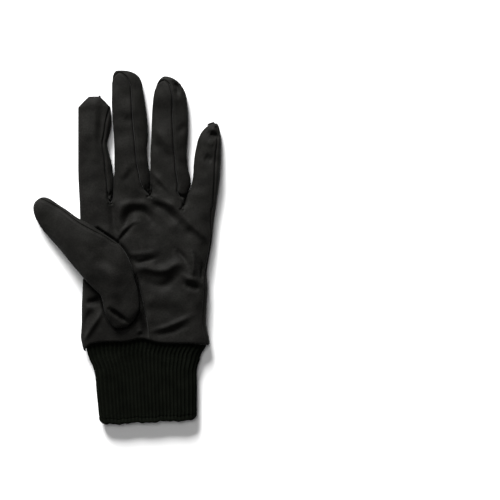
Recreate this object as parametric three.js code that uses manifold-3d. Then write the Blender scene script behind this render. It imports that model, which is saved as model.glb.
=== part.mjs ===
// A knitted glove liner for the left hand, lying palm up on a surface.
//
// The hand is one cloth folded along the index finger and sewn shut along the
// little finger. Three fourchettes, the narrow side strips, give the fingers
// their depth. The thumb is a pouch sewn over an oval hole in the palm, and a
// ribbed knit cuff is sewn inside the hem.
//
// Millimetres. X runs across the hand from the index side to the little side,
// Y from the hem to the fingertips, and Z up, out of the palm. The drawing has
// its zero at the middle of the hem, and the last lines move the whole glove so
// that its origin is at the bottom centre of its box.

import * as THREE from "three";
import Module from "manifold-3d";
import { mergeVertices } from "three/addons/utils/BufferGeometryUtils.js";

// Driving dimensions, in millimetres and degrees
const PALM_WIDTH = 94; // flat width at the knuckles
const PALM_LENGTH = 104; // hem to the roots of the fingers
const HAND_THICKNESS = 12.5; // outside, as it lies
const FINGER_THICKNESS = 10.8; // at the roots
const TIP_THICKNESS = 9.2;
const EDGE_ROLL = 11; // width over which a side edge curves round
const HEM_THICKNESS = 12; // outside height of the hand where it ends in the hem
const HEM_ROLL = 9; // length over which the cloth curves down to the hem
const WALL = 1.2; // cloth of the hand
const SEAM_GAP = 0.5; // between two pieces of cloth that are sewn together
const OUTER_SEAM_INSET = 3.2; // the little-finger seam lies this far in from the side edge
const FORK_WEB = 1.1; // width of the fourchette at the bottom of a fork
const ROOT_BLEND = 0.3; // share of a finger over which its section turns round

const THUMB_LENGTH = 112;
const THUMB_WIDTH = 34;
const THUMB_THICKNESS = 9.2;
const THUMB_LEAN = -35.1; // from the length of the hand, towards the index side
const THUMB_BASE_X = -15.8;
const THUMB_BASE_Y = 11.2;
const THUMB_LIFT = 0.6; // between the palm and the thumb that lies on it
const THUMB_TIP_HEIGHT = 2.4; // underside of the thumb's tip above the surface
const THUMB_DROOP = 38; // distance over which it comes down to that height
const THUMB_END_LIFT = 0.2; // share of its thickness by which its rounded ends rise
const THUMB_HOLE_LENGTH = 46;
const THUMB_HOLE_WIDTH = 18;

const CUFF_WIDTH = 73;
const CUFF_LENGTH = 54; // hem to the open end
const CUFF_END_SLANT = 4; // the index-side corner of the open end hangs this much lower
const CUFF_THICKNESS = 9.6;
const CUFF_ROLL = 9; // width over which its side edges curve round
const CUFF_WALL = 1.7;
const CUFF_TUCK = 4; // length of cuff inside the hem
const CUFF_CLEARANCE = 0.7; // between the cuff and the hand around it
const HEM_SPREAD = 8; // length over which the hand widens from the cuff's width to its own
const RIB_COUNT = 52;
const RIB_DEPTH = 0.5;

// Grid steps
const PALM_COLUMNS = 6; // of each finger's share of the palm
const BACK_COLUMNS = 5;
const STRIP_COLUMNS = 2; // of a fourchette
const HAND_ROWS = 17;
const ROW_SPREAD = 1.1; // above 1, the rows of the hand are closer at the hem
const FINGER_ROWS = 9; // root to the start of the rounded tip
const TIP_ANGLES = [20, 40, 60, 78]; // rows of a rounded tip
const THUMB_ROWS = 15;
const THUMB_SIDES = 16;
const THUMB_BASE_ANGLES = [9, 36, 68]; // rows of the rounded base
const THUMB_TIP_ANGLES = [31, 58, 81]; // rows of the rounded tip
const CUFF_ROWS = 5;
const CUFF_ROW_SPREAD = 1.3; // above 1, its rows are closer at the hem
const HOLE_SIDES = 24;

// Side edges of the hand above its hem, as shares of its length up and of its
// width across. At the hem it is as wide as the cuff that is sewn inside it.
const HAND_EDGES = [
  { up: 0.05, left: -0.494, right: 0.486 },
  { up: 0.145, left: -0.487, right: 0.467 },
  { up: 0.27, left: -0.486, right: 0.471 },
  { up: 0.39, left: -0.479, right: 0.479 },
  { up: 0.5, left: -0.479, right: 0.471 },
  { up: 0.6, left: -0.486, right: 0.486 },
  { up: 0.72, left: -0.494, right: 0.509 },
  { up: 0.85, left: -0.498, right: 0.525 },
  { up: 1.0, left: -0.503, right: 0.55 },
];

// Line of the hem: it droops at the index side and is puckered near the middle
const HEM_LINE = [
  { share: 0.0, up: -0.042 },
  { share: 0.08, up: 0.01 },
  { share: 0.35, up: 0.024 },
  { share: 0.48, up: 0.042 },
  { share: 0.6, up: 0.016 },
  { share: 0.85, up: 0.008 },
  { share: 1.0, up: 0.0 },
];

// Outer side of the index finger, the three forks, outer side of the little
// finger: shares of the way across the hand and of its length up
const ROOTS = [
  { share: 0.0, up: 0.983 },
  { share: 0.2285, up: 0.977 },
  { share: 0.51, up: 1.03 },
  { share: 0.753, up: 0.934 },
  { share: 1.0, up: 0.921 },
];

// Each finger's length and width are shares of the palm's, and its side edges
// are shares of its length along and of its width across. The tip is the share
// of its length that is rounded, the bluntness the exponent of that curve, and
// the point how far off the middle it ends. The seams are turns in degrees round
// the section, from the index-side edge over the palm side. The back of the
// little finger wraps round its outer edge.
const FINGERS = [
  {
    name: "index",
    length: 0.7404,
    width: 0.2553,
    lean: -1.2,
    tip: 0.105,
    bluntness: 1.6,
    point: -0.02,
    edges: [
      { along: 0.13, left: -0.484, right: 0.53 },
      { along: 0.24, left: -0.494, right: 0.538 },
      { along: 0.33, left: -0.494, right: 0.535 },
      { along: 0.41, left: -0.489, right: 0.489 },
      { along: 0.5, left: -0.483, right: 0.411 },
      { along: 0.56, left: -0.479, right: 0.391 },
      { along: 0.61, left: -0.475, right: 0.43 },
      { along: 0.69, left: -0.47, right: 0.501 },
      { along: 0.78, left: -0.464, right: 0.534 },
      { along: 0.88, left: -0.458, right: 0.517 },
      { along: 1.0, left: -0.45, right: 0.5 },
    ],
    seams: { palmStart: 0, palmEnd: 140, backStart: 205, backEnd: 360 },
  },
  {
    name: "middle",
    length: 0.899,
    width: 0.2606,
    lean: -1.7,
    tip: 0.14,
    bluntness: 2.3,
    point: -0.25,
    edges: [
      { along: 0.08, left: -0.476, right: 0.565 },
      { along: 0.155, left: -0.45, right: 0.59 },
      { along: 0.215, left: -0.44, right: 0.58 },
      { along: 0.29, left: -0.431, right: 0.544 },
      { along: 0.37, left: -0.423, right: 0.523 },
      { along: 0.48, left: -0.425, right: 0.564 },
      { along: 0.57, left: -0.442, right: 0.569 },
      { along: 0.66, left: -0.455, right: 0.55 },
      { along: 0.755, left: -0.459, right: 0.51 },
      { along: 0.85, left: -0.443, right: 0.462 },
      { along: 1.0, left: -0.43, right: 0.43 },
    ],
    seams: { palmStart: -15, palmEnd: 108, backStart: 188, backEnd: 302 },
  },
  {
    name: "ring",
    length: 0.8779,
    width: 0.2766,
    lean: 1.6,
    tip: 0.2,
    bluntness: 2,
    point: -0.12,
    edges: [
      { along: 0.07, left: -0.425, right: 0.56 },
      { along: 0.135, left: -0.43, right: 0.66 },
      { along: 0.2, left: -0.445, right: 0.654 },
      { along: 0.3, left: -0.458, right: 0.566 },
      { along: 0.42, left: -0.464, right: 0.538 },
      { along: 0.54, left: -0.453, right: 0.554 },
      { along: 0.655, left: -0.451, right: 0.548 },
      { along: 0.75, left: -0.446, right: 0.528 },
      { along: 0.83, left: -0.43, right: 0.5 },
      { along: 1.0, left: -0.41, right: 0.48 },
    ],
    seams: { palmStart: -13, palmEnd: 104, backStart: 188, backEnd: 302 },
  },
  {
    name: "little",
    length: 0.6183,
    width: 0.2149,
    lean: 9.7,
    tip: 0.24,
    bluntness: 2,
    point: 0.1,
    edges: [
      { along: 0.15, left: -0.46, right: 0.572 },
      { along: 0.29, left: -0.4, right: 0.564 },
      { along: 0.4, left: -0.41, right: 0.546 },
      { along: 0.51, left: -0.452, right: 0.511 },
      { along: 0.625, left: -0.47, right: 0.468 },
      { along: 0.74, left: -0.46, right: 0.41 },
      { along: 0.83, left: -0.44, right: 0.37 },
      { along: 1.0, left: -0.41, right: 0.3 },
    ],
    seams: { palmStart: -10, palmEnd: 128, backStart: 128, backEnd: 302 },
  },
];
const WRAP_TURNS = [128, 154, 180]; // back of the little finger, round its outer edge

// Exponents of a finger's rounded section, above and below its middle
const ROUNDNESS = { top: 2.2, bottom: 3 };
const THUMB_ROUNDNESS = { top: 2.2, bottom: 7 };

// The thumb's side edges, as shares of its length along and of its width across
const THUMB_EDGES = [
  { along: 0.0, left: -0.06, right: 0.36 },
  { along: 0.05, left: -0.12, right: 0.54 },
  { along: 0.1, left: -0.12, right: 0.65 },
  { along: 0.16, left: -0.09, right: 0.745 },
  { along: 0.21, left: -0.02, right: 0.8 },
  { along: 0.26, left: 0.035, right: 0.87 },
  { along: 0.33, left: 0.0, right: 0.95 },
  { along: 0.42, left: -0.05, right: 0.985 },
  { along: 0.48, left: -0.07, right: 0.95 },
  { along: 0.54, left: -0.09, right: 0.88 },
  { along: 0.61, left: -0.11, right: 0.79 },
  { along: 0.68, left: -0.13, right: 0.7 },
  { along: 0.75, left: -0.16, right: 0.58 },
  { along: 0.84, left: -0.185, right: 0.475 },
  { along: 0.88, left: -0.176, right: 0.418 },
  { along: 0.92, left: -0.162, right: 0.374 },
  { along: 1.0, left: -0.13, right: 0.34 },
];
const THUMB_BASE_ROUND = 0.05; // share of its length that is rounded at the base
const THUMB_TIP_ROUND = 0.12;
// Share of the thumb's full thickness along its length
const THUMB_BODY = [
  { along: 0.0, full: 0.5 },
  { along: 0.12, full: 0.72 },
  { along: 0.3, full: 1.0 },
  { along: 0.7, full: 1.0 },
  { along: 1.0, full: 0.88 },
];
// Middle of the hole along and across the thumb, and its turn from the hand's length
const THUMB_HOLE = { along: 0.25, across: 0.45, turn: 15 };

// Side edges of the cuff, as shares of its length down and of its width across
const CUFF_EDGES = [
  { down: -0.1, left: -0.605, right: 0.609 },
  { down: 0.0, left: -0.595, right: 0.607 },
  { down: 0.05, left: -0.586, right: 0.588 },
  { down: 0.12, left: -0.572, right: 0.556 },
  { down: 0.2, left: -0.552, right: 0.542 },
  { down: 0.28, left: -0.523, right: 0.523 },
  { down: 0.36, left: -0.503, right: 0.512 },
  { down: 0.44, left: -0.493, right: 0.512 },
  { down: 0.6, left: -0.484, right: 0.512 },
  { down: 0.76, left: -0.474, right: 0.512 },
  { down: 0.93, left: -0.463, right: 0.512 },
  { down: 1.1, left: -0.45, right: 0.5 },
];

// Folds of the palm's cloth. A fold runs from one point to another, shares of
// the palm's width and length, bowing sideways by a share of its own length.
// Its half width and its rise, below zero for a valley, are shares of the hand's
// thickness.
const PALM_FOLDS = [
  { x1: -0.18, y1: 0.9, x2: 0.05, y2: 0.88, bow: 0.2, width: 0.36, rise: -0.192 },
  { x1: -0.18, y1: 0.76, x2: 0.04, y2: 0.84, bow: 0.1, width: 0.36, rise: 0.088 },
  { x1: 0.04, y1: 1.0, x2: 0.46, y2: 0.56, bow: 0.09, width: 0.36, rise: -0.168 },
  { x1: 0.14, y1: 0.98, x2: 0.47, y2: 0.64, bow: 0.1, width: 0.36, rise: 0.08 },
  { x1: -0.06, y1: 0.54, x2: 0.3, y2: 0.54, bow: 0.08, width: 0.32, rise: 0.112 },
  { x1: 0.0, y1: 0.47, x2: 0.28, y2: 0.52, bow: -0.08, width: 0.32, rise: -0.176 },
  { x1: 0.3, y1: 0.42, x2: 0.43, y2: 0.43, bow: 0, width: 0.36, rise: -0.176 },
  { x1: -0.05, y1: 0.38, x2: 0.03, y2: 0.04, bow: 0.04, width: 0.32, rise: -0.128 },
  { x1: 0.06, y1: 0.1, x2: 0.32, y2: 0.13, bow: 0.04, width: 0.32, rise: -0.08 },
  { x1: 0.05, y1: 0.17, x2: 0.32, y2: 0.2, bow: 0.04, width: 0.4, rise: 0.072 },
  { x1: -0.47, y1: 0.05, x2: -0.32, y2: 0.26, bow: 0, width: 0.32, rise: 0.08 },
  { x1: -0.42, y1: 0.3, x2: -0.3, y2: 0.31, bow: 0, width: 0.36, rise: -0.144 },
];
const FOLD_END = 0.4; // share of its rise that a fold keeps at its two ends
// The cloth dips where it meets a fork: shares of the hand's thickness
const FORK_DIMPLE = { width: 0.52, rise: -0.12 };
// The hand's cloth is gathered on to the narrower cuff: rise and length are
// shares of the hand's thickness
const HEM_GATHERS = { count: 6, rise: 0.056, length: 1.04 };

const { degToRad, lerp, clamp } = THREE.MathUtils;

// Eased step from 0 to 1
function ease(t) {
  const s = clamp(t, 0, 1);
  return s * s * (3 - 2 * s);
}

// Quarter circle: 0 at the edge, 1 one roll further in and beyond
function roll(t) {
  const s = 1 - clamp(t, 0, 1);
  return Math.sqrt(1 - s * s);
}

// Rounded end: 1 where it starts, 0 at the very end
function taper(t, exponent) {
  const s = clamp(t, 0, 1);
  return (1 - s ** exponent) ** (1 / exponent);
}

const signedPower = (value, power) => Math.sign(value) * Math.abs(value) ** power;

// Smooth curve through one column of a table, read at a value of its key
function curve(table, key, column, at) {
  const last = table.length - 1;
  const x = clamp(at, table[0][key], table[last][key]);
  let i = 0;
  while (i < last - 1 && x > table[i + 1][key]) i += 1;
  const slope = (k) => {
    const a = table[Math.max(k - 1, 0)];
    const b = table[Math.min(k + 1, last)];
    return (b[column] - a[column]) / (b[key] - a[key]);
  };
  const span = table[i + 1][key] - table[i][key];
  const t = (x - table[i][key]) / span;
  return (
    lerp(table[i][column], table[i + 1][column], t * t * (3 - 2 * t)) +
    t * (1 - t) * (1 - t) * span * slope(i) -
    t * t * (1 - t) * span * slope(i + 1)
  );
}

// Rise of the folded cloth above its smooth form
function foldsAt(folds, x, y) {
  let rise = 0;
  for (const fold of folds) {
    const startX = fold.x1 * PALM_WIDTH;
    const startY = fold.y1 * PALM_LENGTH;
    const dx = fold.x2 * PALM_WIDTH - startX;
    const dy = fold.y2 * PALM_LENGTH - startY;
    const reach = Math.hypot(dx, dy);
    const t = ((x - startX) * dx + (y - startY) * dy) / (reach * reach);
    const inside = clamp(t, 0, 1);
    const middle = 4 * inside * (1 - inside);
    const side = ((y - startY) * dx - (x - startX) * dy) / reach - middle * fold.bow * reach;
    const away = Math.hypot(side, (t - inside) * reach) / (fold.width * HAND_THICKNESS);
    const fading = lerp(FOLD_END, 1, ease(middle));
    rise += fold.rise * HAND_THICKNESS * fading * Math.exp(-away * away);
  }
  return rise;
}

// The hand below the fingers

const rootY = (share) => {
  let i = 0;
  while (i < ROOTS.length - 2 && share > ROOTS[i + 1].share) i += 1;
  const t = (share - ROOTS[i].share) / (ROOTS[i + 1].share - ROOTS[i].share);
  return PALM_LENGTH * lerp(ROOTS[i].up, ROOTS[i + 1].up, t);
};
const hemY = (share) => PALM_LENGTH * curve(HEM_LINE, "share", "up", share);
const cuffRoom = WALL + CUFF_CLEARANCE;
const cuffEdge = (side, y) =>
  CUFF_WIDTH * curve(CUFF_EDGES, "down", side, -y / CUFF_LENGTH);
const handEdge = (side, y, outward) =>
  lerp(
    cuffEdge(side, y) + outward * cuffRoom,
    PALM_WIDTH * curve(HAND_EDGES, "up", side, y / PALM_LENGTH),
    ease(y / HEM_SPREAD),
  );
const handLeft = (y) => handEdge("left", y, -1);
const handRight = (y) => handEdge("right", y, 1);

// Outer thickness: a little less at the hem, full in the palm, a finger's at the roots
function handThickness(x, y) {
  const share = clamp((x - handLeft(y)) / (handRight(y) - handLeft(y)), 0, 1);
  const full = lerp(HAND_THICKNESS, FINGER_THICKNESS, ease((y / PALM_LENGTH - 0.55) / 0.4));
  return lerp(HEM_THICKNESS, full, roll((y - hemY(share)) / HEM_ROLL));
}

// Height of the hand's cloth. The inset is how far inside its outer face a
// point lies: 0 on the outer face, the wall on the inner one.
function handHeight(face, x, y, inset, folds = PALM_FOLDS) {
  const edge = Math.min(x - handLeft(y), handRight(y) - x);
  const rise = roll((edge - inset) / (EDGE_ROLL - inset));
  const middle = handThickness(x, y) / 2;
  if (face === "back") return middle - (middle - inset) * rise;
  let wave = foldsAt(folds, x, y);
  for (const fork of ROOTS.slice(1, -1)) {
    const forkX = lerp(handLeft(y), handRight(y), fork.share);
    const apart = Math.hypot(x - forkX, y - fork.up * PALM_LENGTH);
    const away = apart / (FORK_DIMPLE.width * HAND_THICKNESS);
    wave += FORK_DIMPLE.rise * HAND_THICKNESS * Math.exp(-away * away);
  }
  const share = (x - handLeft(y)) / (handRight(y) - handLeft(y));
  const fromHem = y - hemY(clamp(share, 0, 1));
  const ripple = (1 - Math.cos(2 * Math.PI * HEM_GATHERS.count * share)) / 2;
  const reach = HEM_GATHERS.length * HAND_THICKNESS;
  const gather = HEM_GATHERS.rise * HAND_THICKNESS * ripple * ease(1 - fromHem / reach);
  const inland = ease((edge - WALL) / EDGE_ROLL);
  return middle + (middle - inset) * rise + inland * (wave * ease(fromHem / HEM_ROLL) + gather);
}

// Point of the hand's cloth. The share runs across from the index-side edge, 0,
// to the little-side edge, 1, and the rise from the hem, 0, to the roots, 1.
// Columns beside a fork step away from it by the inset, on the side of the sign.
function handPoint({ face, share, sign = 0 }, rise, inset) {
  const y = lerp(hemY(share), rootY(share), rise) - inset * rise;
  const x =
    lerp(handLeft(y) + inset, handRight(y) - inset, share) + sign * inset * rise * rise;
  return new THREE.Vector3(x, y, handHeight(face, x, y, inset));
}

// The fingers

const webShare = FORK_WEB / 2 / PALM_WIDTH;
const leftShare = (f) => (f === 0 ? 0 : ROOTS[f].share + webShare);
const rightShare = (f) => (f === 3 ? 1 : ROOTS[f + 1].share - webShare);

// A finger's own frame, with its table of edges starting at the root
const frames = FINGERS.map((finger, f) => {
  const ends = [ROOTS[f], ROOTS[f + 1]].map(({ share, up }) => {
    const y = up * PALM_LENGTH;
    return new THREE.Vector2(lerp(handLeft(y), handRight(y), share), y);
  });
  const base = ends[0].clone().add(ends[1]).multiplyScalar(0.5);
  const lean = degToRad(finger.lean);
  const width = finger.width * PALM_WIDTH;
  const frame = {
    base,
    width,
    length: finger.length * PALM_LENGTH,
    across: new THREE.Vector2(Math.cos(lean), -Math.sin(lean)),
    along: new THREE.Vector2(Math.sin(lean), Math.cos(lean)),
  };
  const side = (share, sign) => {
    const root = handPoint({ face: "palm", share, sign }, 1, 0);
    return new THREE.Vector2(root.x, root.y).sub(base).dot(frame.across);
  };
  const root = { left: side(leftShare(f), 1), right: side(rightShare(f), -1) };
  frame.edges = [
    { along: 0, left: root.left / width, right: root.right / width },
    ...finger.edges,
  ];
  return frame;
});

const placed = (frame, across, along, z) =>
  new THREE.Vector3(
    frame.base.x + frame.across.x * across + frame.along.x * along,
    frame.base.y + frame.across.y * across + frame.along.y * along,
    z,
  );

// Stations along a finger: share of its length, and how far into the rounded tip
const stations = FINGERS.map(({ tip }) => {
  const body = Array.from({ length: FINGER_ROWS }, (_, i) => ({
    along: ((1 - tip) * (i + 1)) / FINGER_ROWS,
    rounding: 0,
  }));
  const end = TIP_ANGLES.map((angle) => {
    const rounding = Math.sin(degToRad(angle));
    return { along: 1 - tip + tip * rounding, rounding };
  });
  return [...body, ...end];
});

// Point of a finger's cloth: the section starts as the shape of its root and
// turns into a rounded one
function fingerPoint(column, { along, rounding }, inset) {
  const finger = FINGERS[column.finger];
  const frame = frames[column.finger];
  const left = frame.width * curve(frame.edges, "along", "left", along) + inset;
  const right = frame.width * curve(frame.edges, "along", "right", along) - inset;
  const half = lerp(FINGER_THICKNESS, TIP_THICKNESS, along) / 2;
  const up = along * (frame.length - inset);

  const turn = degToRad(column.turn);
  const power = 2 / (Math.sin(turn) > 0 ? ROUNDNESS.top : ROUNDNESS.bottom);
  const ringAcross =
    (left + right) / 2 - ((right - left) / 2) * signedPower(Math.cos(turn), power);
  const ringZ = half + (half - inset) * signedPower(Math.sin(turn), power);
  const ring = placed(frame, ringAcross, up, ringZ);
  if (along < ROOT_BLEND) {
    const root = rootPoint(column, inset);
    const offset = new THREE.Vector2(root.x, root.y).sub(frame.base);
    const from = frame.edges[0].left * frame.width + inset;
    const to = frame.edges[0].right * frame.width - inset;
    const share = clamp((offset.dot(frame.across) - from) / (to - from), 0, 1);
    const blend = ease(along / ROOT_BLEND);
    const slant = offset.dot(frame.along) * (1 - blend);
    const flat = placed(frame, lerp(left, right, share), up + slant, root.z);
    return flat.lerp(ring, blend);
  }
  const tip = placed(frame, finger.point * frame.width, up, half);
  const narrow = taper(rounding, finger.bluntness);
  const thin = taper(rounding, 2);
  return new THREE.Vector3(
    lerp(tip.x, ring.x, narrow),
    lerp(tip.y, ring.y, narrow),
    lerp(tip.z, ring.z, thin),
  );
}

function fingertip(f, inset) {
  const { width, length } = frames[f];
  return placed(frames[f], FINGERS[f].point * width, length - inset, TIP_THICKNESS / 2);
}

// Where a column starts on the line of the roots. A fourchette's columns go
// down from the palm's cloth to the back's.
function rootPoint(column, inset) {
  if (column.drop === undefined) return handPoint(column, 1, inset);
  const top = handPoint({ ...column, face: "palm" }, 1, inset);
  const bottom = handPoint({ ...column, face: "back" }, 1, inset);
  return top.lerp(bottom, column.drop);
}

// Columns of the palm, from the index side to the little side
function palmColumns() {
  return FINGERS.flatMap(({ seams }, f) => {
    const last = f === 3 ? 1 - OUTER_SEAM_INSET / PALM_WIDTH : rightShare(f);
    return Array.from({ length: PALM_COLUMNS + 1 }, (_, i) => {
      const t = (1 - Math.cos((Math.PI * i) / PALM_COLUMNS)) / 2;
      return {
        face: "palm",
        finger: f,
        share: lerp(leftShare(f), last, t),
        sign: i === 0 && f > 0 ? 1 : i === PALM_COLUMNS && f < 3 ? -1 : 0,
        turn: lerp(seams.palmStart, seams.palmEnd, i / PALM_COLUMNS),
      };
    });
  });
}

// Columns of the back, from the seam on the little side to the index side
function backColumns() {
  const seam = 1 - OUTER_SEAM_INSET / PALM_WIDTH;
  const wrap = WRAP_TURNS.slice(0, -1).map((turn, i) => ({
    face: "palm",
    finger: 3,
    share: lerp(seam, 1, i / (WRAP_TURNS.length - 1)),
    turn,
  }));
  const rest = [3, 2, 1, 0].flatMap((f) => {
    const { backStart, backEnd } = FINGERS[f].seams;
    const first = f === 3 ? WRAP_TURNS.at(-1) : backStart;
    return Array.from({ length: BACK_COLUMNS + 1 }, (_, i) => {
      const t = (1 - Math.cos((Math.PI * i) / BACK_COLUMNS)) / 2;
      return {
        face: "back",
        finger: f,
        share: lerp(rightShare(f), leftShare(f), t),
        sign: i === 0 && f < 3 ? -1 : i === BACK_COLUMNS && f > 0 ? 1 : 0,
        turn: lerp(first, backEnd, i / BACK_COLUMNS),
      };
    });
  });
  return [...wrap, ...rest];
}

// Columns of the fourchette between finger f and the next: down the side of the
// first, then up the side of the second
function stripColumns(f) {
  const steps = Array.from({ length: STRIP_COLUMNS + 1 }, (_, i) => i / STRIP_COLUMNS);
  const first = FINGERS[f].seams;
  const second = FINGERS[f + 1].seams;
  return [
    ...steps.map((t) => ({
      finger: f,
      share: rightShare(f),
      sign: -1,
      drop: t,
      turn: lerp(first.palmEnd, first.backStart, t),
    })),
    ...steps.map((t) => ({
      finger: f + 1,
      share: leftShare(f + 1),
      sign: 1,
      drop: 1 - t,
      turn: lerp(second.backEnd, second.palmStart + 360, t),
    })),
  ];
}

// Cloth as a grid of faces with an outer and an inner point for every vertex
class Cloth {
  constructor() {
    this.keys = new Map();
    this.outer = [];
    this.inner = [];
    this.faces = [];
  }

  vertex(key, at) {
    if (!this.keys.has(key)) {
      this.keys.set(key, this.outer.length);
      this.outer.push(at(0));
      this.inner.push(at(WALL));
    }
    return this.keys.get(key);
  }

  face(...corners) {
    this.faces.push(corners);
  }

  // Edges that belong to one face only, each with that face
  edges() {
    const found = new Map();
    for (const face of this.faces) {
      face.forEach((a, i) => {
        const b = face[(i + 1) % face.length];
        const key = `${Math.min(a, b)}:${Math.max(a, b)}`;
        if (found.has(key)) found.delete(key);
        else found.set(key, { a, b, face });
      });
    }
    return [...found.values()];
  }

  // The sewn edges draw back from their seams by half a gap
  trimmed(points) {
    const pulls = points.map(() => new THREE.Vector3());
    for (const { a, b, face } of this.edges()) {
      const along = points[b].clone().sub(points[a]).normalize();
      const inward = new THREE.Vector3();
      for (const corner of face) inward.add(points[corner]);
      inward.divideScalar(face.length).sub(points[a]);
      inward.addScaledVector(along, -inward.dot(along)).normalize();
      pulls[a].add(inward);
      pulls[b].add(inward);
    }
    return points.map((point, i) => {
      const length = pulls[i].lengthSq();
      if (length === 0) return point;
      const reach = Math.min(SEAM_GAP / length, SEAM_GAP);
      return point.clone().addScaledVector(pulls[i], reach);
    });
  }

  // Closed body: outer face, inner face turned round, and a rim along every edge
  geometry() {
    const points = [...this.trimmed(this.outer), ...this.trimmed(this.inner)];
    const shift = this.outer.length;
    const triangles = [];
    for (const face of this.faces) {
      for (const [a, b, c] of split(face, this.outer)) {
        triangles.push([a, b, c], [a + shift, c + shift, b + shift]);
      }
    }
    for (const { a, b } of this.edges()) {
      triangles.push([b, a, a + shift], [b, a + shift, b + shift]);
    }
    return closedGeometry(points, triangles);
  }
}

// A face's triangles, cut along the shorter diagonal
function split(face, points) {
  if (face.length === 3) return [face];
  const [a, b, c, d] = face;
  const first = points[a].distanceTo(points[c]);
  const second = points[b].distanceTo(points[d]);
  return first <= second ? [[a, b, c], [a, c, d]] : [[a, b, d], [b, c, d]];
}

// Geometry of a closed body, turned so that its faces look outwards
function closedGeometry(points, triangles) {
  const volume = triangles.reduce(
    (sum, [a, b, c]) => sum + points[a].dot(points[b].clone().cross(points[c])),
    0,
  );
  const index = triangles.flatMap(([a, b, c]) => (volume > 0 ? [a, b, c] : [a, c, b]));
  const geometry = new THREE.BufferGeometry();
  geometry.setAttribute(
    "position",
    new THREE.Float32BufferAttribute(points.flatMap((p) => p.toArray()), 3),
  );
  geometry.setIndex(index);
  return geometry;
}

// Grid of the hand and of the fingers over a list of columns. Columns of
// different fingers are joined only below the roots.
function sewGrid(cloth, columns, name) {
  const handVertex = (c, row) =>
    cloth.vertex(`${name}:${c}:hand:${row}`, (inset) =>
      handPoint(columns[c], (row / HAND_ROWS) ** ROW_SPREAD, inset),
    );
  const fingerVertex = (c, row) =>
    row === 0
      ? handVertex(c, HAND_ROWS)
      : cloth.vertex(`${name}:${c}:finger:${row}`, (inset) =>
          fingerPoint(columns[c], stations[columns[c].finger][row - 1], inset),
        );
  for (let c = 0; c < columns.length - 1; c += 1) {
    for (let row = 0; row < HAND_ROWS; row += 1) {
      cloth.face(
        handVertex(c, row),
        handVertex(c + 1, row),
        handVertex(c + 1, row + 1),
        handVertex(c, row + 1),
      );
    }
    if (columns[c].finger !== columns[c + 1].finger) continue;
    for (let row = 0; row < stations[columns[c].finger].length; row += 1) {
      cloth.face(
        fingerVertex(c, row),
        fingerVertex(c + 1, row),
        fingerVertex(c + 1, row + 1),
        fingerVertex(c, row + 1),
      );
    }
  }
  return fingerVertex;
}

function palmCloth() {
  const cloth = new Cloth();
  sewGrid(cloth, palmColumns(), "palm");
  return cloth;
}

// The back's cloth also closes the end of every fingertip, with a disc whose
// rim takes in the last points of the other cloths round that finger
function backCloth() {
  const cloth = new Cloth();
  const columns = backColumns();
  const vertexAt = sewGrid(cloth, columns, "back");
  FINGERS.forEach((_, f) => {
    const last = stations[f].length;
    const own = columns.flatMap((column, c) =>
      column.finger === f ? [vertexAt(c, last)] : [],
    );
    const others = turnsBesideBack(f).map((turn) =>
      cloth.vertex(`tip:${f}:${turn}`, (inset) =>
        fingerPoint({ finger: f, turn }, stations[f][last - 1], inset),
      ),
    );
    const tip = cloth.vertex(`tip:${f}`, (inset) => fingertip(f, inset));
    const ring = [...own, ...others];
    ring.forEach((vertex, i) => {
      cloth.face(vertex, ring[(i + 1) % ring.length], tip);
    });
  });
  return cloth;
}

// Turns of the columns between the end and the start of a finger's back, in order
function turnsBesideBack(f) {
  const { backStart, backEnd } = FINGERS[f].seams;
  const past = (turn) => THREE.MathUtils.euclideanModulo(turn - backEnd, 360);
  const strips = [f - 1, f].filter((s) => s >= 0 && s < 3).flatMap(stripColumns);
  const turns = [...palmColumns(), ...strips]
    .filter((column) => column.finger === f)
    .map(({ turn }) => THREE.MathUtils.euclideanModulo(turn, 360))
    .filter((turn) => past(turn) > 0 && past(turn) < past(backStart));
  return [...new Set(turns)].sort((a, b) => past(a) - past(b));
}

function stripCloth(f) {
  const cloth = new Cloth();
  const columns = stripColumns(f);
  const half = STRIP_COLUMNS + 1;
  const vertexAt = (c, row) =>
    cloth.vertex(`${c}:${row}`, (inset) =>
      row === 0
        ? rootPoint(columns[c], inset)
        : fingerPoint(columns[c], stations[columns[c].finger][row - 1], inset),
    );
  for (let c = 0; c < columns.length - 1; c += 1) {
    if (c === half - 1) continue;
    for (let row = 0; row < stations[columns[c].finger].length; row += 1) {
      cloth.face(
        vertexAt(c, row),
        vertexAt(c + 1, row),
        vertexAt(c + 1, row + 1),
        vertexAt(c, row + 1),
      );
    }
  }
  // The bottom of the fork joins the two sides
  for (let c = 0; c < STRIP_COLUMNS; c += 1) {
    const d = columns.length - 1 - c;
    cloth.face(vertexAt(c + 1, 0), vertexAt(c, 0), vertexAt(d, 0), vertexAt(d - 1, 0));
  }
  return cloth;
}

// The thumb

const thumbLean = degToRad(THUMB_LEAN);
const thumbFrame = {
  base: new THREE.Vector2(THUMB_BASE_X, THUMB_BASE_Y),
  across: new THREE.Vector2(Math.cos(thumbLean), -Math.sin(thumbLean)),
  along: new THREE.Vector2(Math.sin(thumbLean), Math.cos(thumbLean)),
};

// Underside of the thumb: it lies on the palm and droops beyond the palm's edge
function thumbFloor(x, y) {
  const beyond = handLeft(y) - x;
  const top = HAND_THICKNESS + THUMB_LIFT;
  const droop = ease(1 - (beyond + EDGE_ROLL) / THUMB_DROOP);
  const hanging = lerp(THUMB_TIP_HEIGHT, top, droop);
  if (beyond > 0) return hanging;
  const smooth = handHeight("palm", x, y, 0, []);
  const folded = handHeight("palm", x, y, 0);
  return Math.max(hanging, smooth + THUMB_LIFT, folded + THUMB_LIFT);
}

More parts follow.
